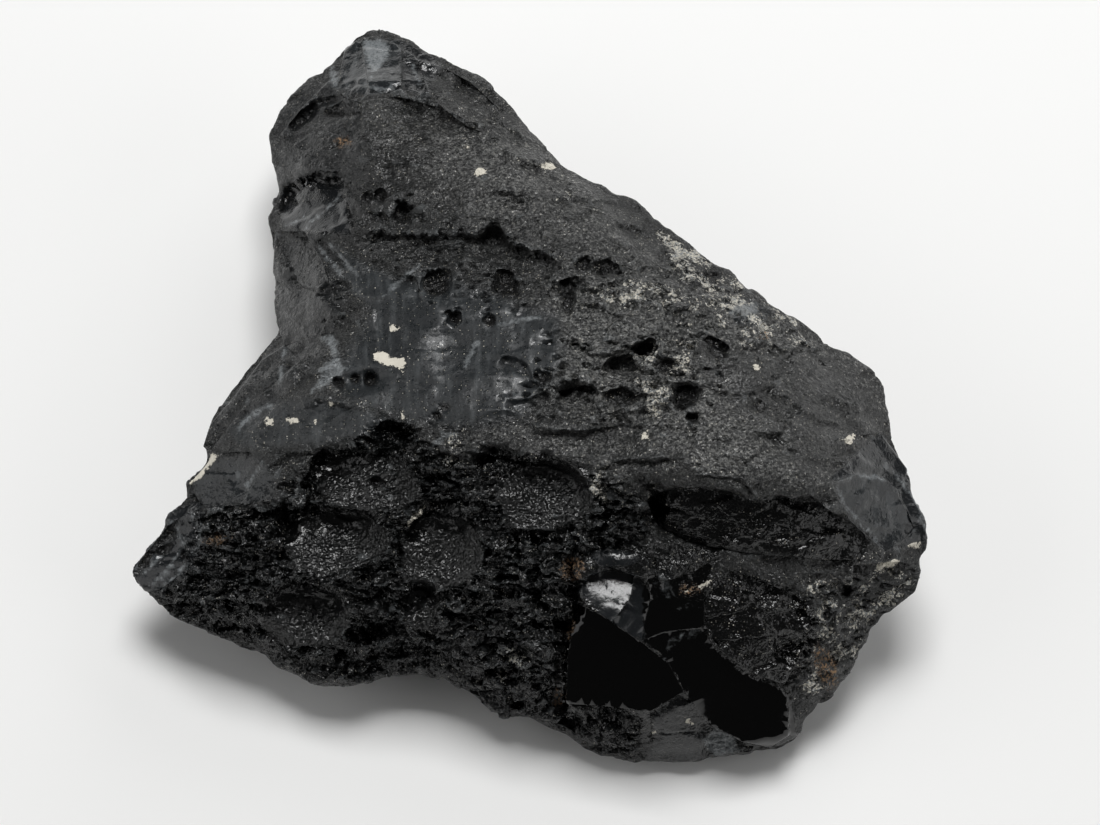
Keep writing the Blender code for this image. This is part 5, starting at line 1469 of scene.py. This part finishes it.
def weathering_tree():
    """Roughens the stone: broken flow layers, small pits and a worn skin, each where its zone says."""
    tree = bpy.data.node_groups.new("Stone weathering", "GeometryNodeTree")
    interface = tree.interface
    interface.new_socket("Geometry", in_out="INPUT", socket_type="NodeSocketGeometry")
    for name in ("Layer height", "Layer width", "Pit depth", "Pit width", "Skin height", "Skin width"):
        interface.new_socket(name, in_out="INPUT", socket_type="NodeSocketFloat")
    interface.new_socket("Material", in_out="INPUT", socket_type="NodeSocketMaterial")
    interface.new_socket("Geometry", in_out="OUTPUT", socket_type="NodeSocketGeometry")
    given = tree.nodes.new("NodeGroupInput").outputs

    def stored(name):
        return add_node(tree, "GeometryNodeInputNamedAttribute", {"data_type": "FLOAT"}, Name=name).outputs[0]

    def times(first, second):
        return maths(tree, "MULTIPLY", first, second)

    def plus(first, second):
        return maths(tree, "ADD", first, second)

    place = add_node(tree, "GeometryNodeInputPosition").outputs[0]
    layer_axis = (0.0, SINE, COSINE)
    climb = times(vectors(tree, "DOT_PRODUCT", place, layer_axis).outputs["Value"], LAYER_SQUEEZE)
    layered = vectors(tree, "ADD", place, scaled(tree, layer_axis, climb)).outputs[0]
    ragged = shaken(tree, layered, LAYER_SHAKE_WIDTH, LAYER_SHAKE)
    width = given["Layer width"]
    height = given["Layer height"]
    layers = chips(tree, ragged, width, height, 0.7, 0.12)
    layers = plus(layers, chips(tree, ragged, times(width, 0.42), times(height, 0.26), 0.6, 0.1))
    layers = plus(layers, times(cloud(tree, layered, width, 2.0), times(height, 0.7)))
    cells = add_node(
        tree, "ShaderNodeTexVoronoi", {"feature": "SMOOTH_F1"},
        Vector=ragged, Scale=per_metre(tree, given["Pit width"]), Smoothness=0.1,
    )
    bowl = ramp(tree, cells.outputs["Distance"], 0.12, 0.5, -1.0, 0.0)
    picked = add_node(tree, "FunctionNodeSeparateColor", Color=cells.outputs["Color"]).outputs[0]
    pits = times(times(bowl, maths(tree, "GREATER_THAN", picked, 0.45)), given["Pit depth"])
    skin = times(cloud(tree, place, given["Skin width"]), given["Skin height"])
    swell = times(cloud(tree, place, times(width, 2.4), 3.0), times(height, 0.9))
    swell = plus(swell, chips(tree, ragged, times(width, 1.9), times(height, 0.4), 0.3, 0.25))
    still = maths(tree, "SUBTRACT", 1.0, times(stored("bowl"), 0.9))
    broken = times(plus(layers, pits), times(stored("rugged"), still))
    crumbly = times(times(plus(layers, pits), 0.45), stored("crust"))
    crumbly = plus(crumbly, times(times(pits, 1.6), stored("pitted")))
    unbroken = maths(tree, "SUBTRACT", 1.0, stored("fresh"))
    sleek = maths(tree, "MAXIMUM", stored("gloss"), stored("waxy"))
    calm = maths(tree, "SUBTRACT", unbroken, times(sleek, 0.8), clamp=True)
    even = times(times(unbroken, still), maths(tree, "SUBTRACT", 1.0, times(sleek, 0.8)))
    worn = plus(times(plus(skin, times(pits, 0.2)), calm), times(swell, even))
    total = times(plus(plus(broken, crumbly), worn), stored("free"))
    normal = add_node(tree, "GeometryNodeInputNormal").outputs[0]
    moved = add_node(
        tree, "GeometryNodeSetPosition", Geometry=given["Geometry"], Offset=scaled(tree, normal, total)
    ).outputs[0]
    real = add_node(tree, "GeometryNodeRealizeInstances", Geometry=moved).outputs[0]
    done = add_node(tree, "GeometryNodeSetMaterial", Geometry=real, Material=given["Material"]).outputs[0]
    add_node(tree, "NodeGroupOutput", Geometry=done)
    return tree


def set_input(modifier, name, value):
    """Sets a node modifier's input by its socket's identifier."""
    for item in modifier.node_group.interface.items_tree:
        if item.item_type == "SOCKET" and item.in_out == "INPUT" and item.name == name:
            modifier[item.identifier] = value
            return
    raise KeyError(name)


def settle(thing, modifier):
    """Makes what a modifier shows the thing's own mesh."""
    graph = bpy.context.evaluated_depsgraph_get()
    old = thing.data
    thing.data = bpy.data.meshes.new_from_object(thing.evaluated_get(graph))
    thing.modifiers.remove(modifier)
    thing.data.name = thing.name
    bpy.data.meshes.remove(old)


def stone_object(sizes):
    """A cube cut into a fine grid, each vertex moved onto the stone, then covered with even faces."""
    bpy.ops.mesh.primitive_cube_add(size=2.0)
    stone = bpy.context.active_object
    stone.name = "obsidian_stone"
    mesh = stone.data
    bpy.ops.object.mode_set(mode="EDIT")
    bpy.ops.mesh.subdivide(number_cuts=sizes.rows - 1)
    bpy.ops.mesh.quads_convert_to_tris(quad_method="SHORTEST_DIAGONAL")
    bpy.ops.object.mode_set(mode="OBJECT")
    set_places(mesh, stone_places(get_places(mesh)) * MM)
    even = stone.modifiers.new("Even", "REMESH")
    even.mode = "VOXEL"
    even.voxel_size = sizes.face_size
    settle(stone, even)
    return stone


def roughening_zones(mesh):
    """Stores where each kind of roughness lies, and how free the skin is to be roughened: not on the
    ground, and little at the rim."""
    across, up, reach = board_of(get_places(mesh) / MM)
    front = front_share(across, up, reach)
    for kind, values in zone_values(across, up).items():
        set_values(mesh, kind, values * front)
    height = get_places(mesh)[:, 2] / MM
    angle = np.arctan2(up - CENTRE[1], across - CENTRE[0])
    radius, _ = rim_radius(angle)
    inward = radius - np.hypot(across - CENTRE[0], up - CENTRE[1])
    free = RIM_KEEPS + (1.0 - RIM_KEEPS) * smooth(0.0, RIM_CALM, inward)
    set_values(mesh, "free", free * smooth(0.0, FLOOR_CLEAR, height))


def roughen(stone, sizes, material):
    roughening_zones(stone.data)
    worn = stone.modifiers.new("Weathering", "NODES")
    worn.node_group = weathering_tree()
    for name, value in (
        ("Layer height", sizes.layer_height), ("Layer width", sizes.layer_width),
        ("Pit depth", sizes.pit_depth), ("Pit width", sizes.pit_width),
        ("Skin height", sizes.skin_height), ("Skin width", sizes.skin_width), ("Material", material),
    ):
        set_input(worn, name, value)
    settle(stone, worn)


def draw_in_walls(mesh):
    """Steepens the walls round the flat breaks, which the even faces leave sloping."""
    places = get_places(mesh) / MM
    across, up, reach = board_of(places)
    facing = np.flatnonzero(front_share(across, up, reach) > 0.5)
    level = reach[facing]
    beside = across[facing]
    above = up[facing]
    for *_, outline in FACETS:
        close = near_box(beside, above, outline, WALL_MARGIN)
        x = beside[close]
        y = above[close]
        depth = depth_inside(x, y, outline)
        steps = (0.0, WALL, WALL_MARGIN, 2.0 * np.abs(depth).max())
        drawn = np.interp(np.abs(depth), steps, (0.0, WALL_DRAWN, WALL_MARGIN, steps[3]))
        move = np.sign(depth) * drawn - depth
        beside[close] += move * (depth_inside(x + TINY, y, outline) - depth) / TINY
        above[close] += move * (depth_inside(x, y + TINY, outline) - depth) / TINY
    places[facing] = world_of(beside, above, level)
    set_places(mesh, places * MM)


def thin_out(stone, triangles):
    """Thins the even faces, which are squares of two triangles each."""
    thin = stone.modifiers.new("Thin", "DECIMATE")
    thin.ratio = min(1.0, triangles / (2 * len(stone.data.polygons)))
    settle(stone, thin)


def keep_in_box(mesh):
    """Keeps the stone inside the CAD solid's box."""
    low, high = (np.array(corner) for corner in CAD_BOX)
    set_places(mesh, np.clip(get_places(mesh), low, high))


def paint(mesh):
    """Stores the strength of each finish on the finished stone, and the painted shade of the dark zones and
    small pits.
    """
    across, up, reach = board_of(get_places(mesh) / MM)
    front = front_share(across, up, reach)
    for kind, values in zone_values(across, up).items():
        set_values(mesh, kind, values * front)
    for kind, values in spot_values(across, up).items():
        set_values(mesh, kind, np.where(front > 0.5, values, -SPOT_REACH))
    # Painted shade inside the small pits.
    set_values(mesh, "pit_shade", pit_shade_values(across, up) * front)


def obsidian_material(colours):
    """Obsidian: glass that chilled before it could crystallise. A fresh break is black and mirror smooth;
    an older one is dulled to a soft sheen; the skin is etched matte grey, finely pitted, with dust on its
    edges; and cream and ochre minerals sit in the vesicles."""
    material = bpy.data.materials.new("Obsidian, weathered and freshly broken")
    material.use_nodes = True
    tree = material.node_tree
    shader = tree.nodes["Principled BSDF"]
    place = add_node(tree, "ShaderNodeTexCoord").outputs["Object"]

    def stored(name):
        return add_node(tree, "ShaderNodeAttribute", {"attribute_name": name}).outputs["Fac"]

    def times(first, second):
        return maths(tree, "MULTIPLY", first, second)

    def plus(first, second):
        return maths(tree, "ADD", first, second)

    def without(share):
        return maths(tree, "SUBTRACT", 1.0, share, clamp=True)

    def most(first, second):
        return maths(tree, "MAXIMUM", first, second, clamp=True)

    def blend(share, first, second):
        mixed = add_node(tree, "ShaderNodeMix", {"data_type": "RGBA"}, n0=share, n6=first, n7=second)
        return mixed.outputs[2]

    def noise_of(width, detail=4.0, roughness=0.55):
        return cloud(tree, place, width * MM, detail, roughness)

    fine = noise_of(DUST_WIDTH, 3.0, 0.7)
    patchy = noise_of(PATCH_WIDTH, 5.0, 0.6)
    broad = noise_of(BROAD_WIDTH, 3.0)
    along = vectors(tree, "MULTIPLY", place, STREAK_SQUEEZE).outputs[0]
    streaks = cloud(tree, along, STREAK_WIDTH * MM, 4.0)
    grit = add_node(tree, "ShaderNodeTexVoronoi", Vector=place, Scale=per_metre(tree, GRIT_WIDTH * MM))
    grain = grit.outputs["Distance"]
    picked = add_node(tree, "ShaderNodeSeparateColor", Color=grit.outputs["Color"]).outputs[0]
    painted_shade_and_dark_glass = stored("painted_shade_and_dark_glass")
    bowl = stored("bowl")
    fresh = ramp(tree, plus(stored("fresh"), times(patchy, 0.25)), 0.4, 0.6)
    gloss = ramp(tree, plus(stored("gloss"), times(patchy, 0.8)), 0.15, 0.95)
    rugged = stored("rugged")
    edge = add_node(tree, "ShaderNodeNewGeometry").outputs["Pointiness"]
    raised = ramp(tree, edge, 0.51, 0.60)
    # Concave places, where shade is painted in creases below.
    crease_shade = ramp(tree, edge, 0.49, 0.42)

    salt = maths(tree, "SUBTRACT", picked, 0.5)
    pit_shade = stored("pit_shade")
    # Painted shade: the dark zones and the small pits, darkened below toward black glass.
    shade = most(painted_shade_and_dark_glass, pit_shade)
    speck = noise_of(SPECK_WIDTH, 3.0, 0.7)
    dusty = plus(times(stored("dusty"), 0.3), times(plus(patchy, broad), 0.5))
    grainy = plus(times(fine, 1.6), times(salt, plus(times(stored("dusty"), 0.7), 0.25)))
    dusty = ramp(tree, plus(dusty, grainy), 0.0, 0.75)
    dusty = times(dusty, without(most(shade, most(bowl, rugged))))
    colour = blend(dusty, tuple(colours.skin), tuple(colours.dust))
    # The rugged zone takes on the black of broken glass. The dark zones and small pits are darkened the same
    # way, mostly as painted shade.
    colour = blend(times(most(times(rugged, 0.7), shade), 0.8), colour, tuple(colours.glass))
    colour = blend(times(gloss, without(pit_shade)), colour, tuple(colours.banded))
    waxy = times(ramp(tree, plus(stored("waxy"), times(patchy, 0.5)), 0.2, 0.8), without(pit_shade))
    banding = times(ramp(tree, streaks, -0.05, 0.3), 0.22)
    colour = blend(waxy, colour, blend(banding, tuple(colours.waxy), tuple(colours.bruise)))
    colour = blend(fresh, colour, tuple(colours.glass))
    worn = times(raised, times(0.22, without(most(fresh, painted_shade_and_dark_glass))))
    colour = blend(worn, colour, tuple(colours.bruise))
    # Painted shade in creases: concave places turn toward black glass.
    colour = blend(times(crease_shade, 0.8), colour, tuple(colours.glass))
    # Tiny pale specks in the mineral colour: partly mineral specks, partly painted glints of light on tiny
    # facets.
    specks_and_glints = times(ramp(tree, grain, 0.42, 0.16), ramp(tree, picked, 0.8, 1.0))
    plain = without(most(most(fresh, gloss), bowl))
    specks_and_glints = times(specks_and_glints, times(plain, ramp(tree, patchy, -0.15, 0.2)))
    colour = blend(times(specks_and_glints, 0.9), colour, tuple(colours.mineral))

    clump = noise_of(CLUMP_WIDTH, 3.0, 0.6)
    cover = plus(stored("crust"), times(plus(speck, times(clump, 1.3)), 2.4))
    crusted = ramp(tree, cover, 1.14, 1.28)
    grey = ramp(tree, fine, -0.1, 0.1)
    colour = blend(crusted, colour, blend(grey, tuple(colours.bruise), tuple(colours.mineral)))
    ragged = times(noise_of(RAGGED_WIDTH, 4.0, 0.7), 2.2)
    worn_off = times(0.9, ramp(tree, fine, -0.35, 0.1))
    frost = times(ramp(tree, plus(stored("frost"), ragged), -0.3, 0.5), worn_off)
    colour = blend(frost, colour, tuple(colours.bruise))
    cream = ramp(tree, plus(stored("cream"), ragged), 0.0, 0.12)
    colour = blend(cream, colour, tuple(colours.mineral))
    rusty = times(ramp(tree, plus(stored("rust"), ragged), -0.3, 0.4), ramp(tree, speck, -0.02, 0.1))
    colour = blend(rusty, colour, tuple(colours.rust))
    tree.links.new(colour, shader.inputs["Base Color"])

    minerals = most(most(crusted, cream), rusty)
    sheen = most(most(times(gloss, 0.95), times(waxy, 0.4)), times(rugged, without(times(bowl, 0.4))))
    sheen = most(sheen, times(most(painted_shade_and_dark_glass, ramp(tree, picked, 0.7, 0.9)), 0.9))
    rough = plus(ramp(tree, sheen, 0.0, 1.0, 0.52, 0.2), times(fine, 0.2))
    rough = plus(times(rough, without(fresh)), times(fresh, 0.08))
    rough = maths(tree, "ADD", rough, times(minerals, 0.4), clamp=True)
    tree.links.new(rough, shader.inputs["Roughness"])
    shader.inputs["IOR"].default_value = OBSIDIAN_IOR

    matte = without(most(fresh, times(most(gloss, waxy), 0.9)))
    ragged_place = shaken(tree, place, SHAKE_WIDTH * MM, SHAKE_WIDTH * MM)
    dot_scale = per_metre(tree, DOT_WIDTH * MM)
    dots = add_node(tree, "ShaderNodeTexVoronoi", Vector=ragged_place, Scale=dot_scale)
    dot_pick = add_node(tree, "ShaderNodeSeparateColor", Color=dots.outputs["Color"]).outputs[0]
    dot = times(ramp(tree, dots.outputs["Distance"], 0.32, 0.12), ramp(tree, dot_pick, 0.5, 0.9))
    shards = chips(tree, place, SHARD_WIDTH * MM, SHARD_HEIGHT * MM, SHARD_LEAN, 0.0)
    flakes = chips(tree, ragged_place, FLAKE_WIDTH * MM, FLAKE_HEIGHT * MM, FLAKE_LEAN, 0.0)
    worn_grain = times(noise_of(GRAIN_WIDTH, 1.0, 0.5), GRAIN_HEIGHT * MM)
    skin = plus(worn_grain, times(noise_of(SWELL_WIDTH, 2.0, 0.5), SWELL_HEIGHT * MM))
    skin = plus(skin, plus(times(dot, -DOT_DEPTH * MM), times(shards, 0.6)))
    height = times(skin, times(matte, without(most(times(painted_shade_and_dark_glass, 0.6), times(bowl, 0.75)))))
    crinkle = maths(tree, "ABSOLUTE", noise_of(CRINKLE_WIDTH, 1.0, 0.5))
    crinkle = times(crinkle, CRINKLE_HEIGHT * MM)
    height = plus(height, times(crinkle, times(bowl, without(painted_shade_and_dark_glass))))
    broken = most(rugged, times(stored("crust"), 0.6))
    height = plus(height, times(plus(flakes, times(shards, 0.5)), times(broken, without(bowl))))
    height = plus(height, times(minerals, MINERAL_HEIGHT * MM))
    bump = add_node(tree, "ShaderNodeBump", Strength=1.0, Distance=1.0, Height=height)
    tree.links.new(bump.outputs[0], shader.inputs["Normal"])
    return material


class STONE_OT_build(Operator):
    """Makes the stone's fine surface and its finish, in place of the CAD solid"""

    bl_idname = "stone.build"
    bl_label = "Build stone"

    def execute(self, context):
        sizes = context.scene.stone_sizes
        material = obsidian_material(context.scene.stone_colours)
        stone = stone_object(sizes)
        roughen(stone, sizes, material)
        draw_in_walls(stone.data)
        thin_out(stone, sizes.triangles)
        keep_in_box(stone.data)
        paint(stone.data)
        stone.data.shade_smooth()
        stone.data.set_sharp_from_angle(angle=SHARP_EDGE)
        if not stone.data.materials:
            raise RuntimeError("the stone has no material")
        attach(stone, BODY_NAME)
        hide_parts(NODE)
        return {"FINISHED"}


def floor_material(colour):
    """Matte white board: rolled card with a dead flat finish, so the eye sees only the soft shadow."""
    material = bpy.data.materials.new("Matte white board")
    material.use_nodes = True
    shader = material.node_tree.nodes["Principled BSDF"]
    shader.inputs["Base Color"].default_value = colour
    shader.inputs["Roughness"].default_value = 0.9
    shader.inputs["Specular IOR Level"].default_value = 0.1
    return material


def aim(thing, place, target):
    thing.location = place
    thing.rotation_euler = (Vector(target) - Vector(place)).to_track_quat("-Z", "Y").to_euler()


def area_light(name, place, size, power):
    light = bpy.data.lights.new(name, "AREA")
    light.shape = "SQUARE"
    light.size = size
    light.energy = power
    lamp = bpy.data.objects.new(name, light)
    bpy.context.scene.collection.objects.link(lamp)
    aim(lamp, place, (0.0, 0.0, 0.0))
    return lamp


class STONE_OT_stage(Operator):
    """Sets a pale floor, soft studio light from above and behind, and the camera"""

    bl_idname = "stone.stage"
    bl_label = "Set stage"

    def execute(self, context):
        settings = context.scene.stone_stage
        bpy.ops.mesh.primitive_plane_add(size=FLOOR_SIZE)
        floor = context.active_object
        floor.name = "floor"
        floor.data.materials.append(floor_material(settings.floor))
        area_light("key", KEY["place"], KEY["size"], KEY["power"])
        area_light("side fill", FILL["place"], FILL["size"], FILL["power"])
        area_light("front fill", FRONT_FILL["place"], FRONT_FILL["size"], FRONT_FILL["power"])
        area_light("back fill", BACK_FILL["place"], BACK_FILL["size"], BACK_FILL["power"])
        world = bpy.data.worlds.new("Studio")
        world.use_nodes = True
        sky = world.node_tree.nodes["Background"]
        sky.inputs["Color"].default_value = linear(SKY_COLOUR)
        sky.inputs["Strength"].default_value = SKY_STRENGTH
        context.scene.world = world
        context.scene.view_settings.view_transform = "Standard"
        lens = bpy.data.cameras.new("camera")
        lens.sensor_width = CAMERA_SENSOR
        lens.lens = CAMERA_SENSOR * SIGHT * MM / settings.frame_width
        camera = bpy.data.objects.new("camera", lens)
        context.scene.collection.objects.link(camera)
        target = Vector((SHIFT[0], SHIFT[1], MIDDLE_HEIGHT)) * MM
        aim(camera, target + Vector((0.0, -COSINE, SINE)) * SIGHT * MM, target)
        context.scene.camera = camera
        return {"FINISHED"}


class STONE_PT_panel(Panel):
    """Lists the stone's steps in the sidebar"""

    bl_label = "Obsidian chunk"
    bl_space_type = "VIEW_3D"
    bl_region_type = "UI"
    bl_category = "Obsidian"

    def draw(self, context):
        for step in (STONE_OT_build, STONE_OT_stage):
            self.layout.operator(step.bl_idname)
        for group in (context.scene.stone_sizes, context.scene.stone_colours, context.scene.stone_stage):
            for name in group.__annotations__:
                self.layout.prop(group, name)


CLASSES = (StoneSizes, StoneColours, StageSettings, STONE_OT_build, STONE_OT_stage, STONE_PT_panel)


def register():
    for item in CLASSES:
        bpy.utils.register_class(item)
    bpy.types.Scene.stone_sizes = PointerProperty(type=StoneSizes)
    bpy.types.Scene.stone_colours = PointerProperty(type=StoneColours)
    bpy.types.Scene.stone_stage = PointerProperty(type=StageSettings)


def unregister():
    del bpy.types.Scene.stone_stage
    del bpy.types.Scene.stone_colours
    del bpy.types.Scene.stone_sizes
    for item in reversed(CLASSES):
        bpy.utils.unregister_class(item)


def main():
    register()
    bpy.ops.stone.build()
    bpy.ops.stone.stage()


if __name__ == "__main__":
    main()
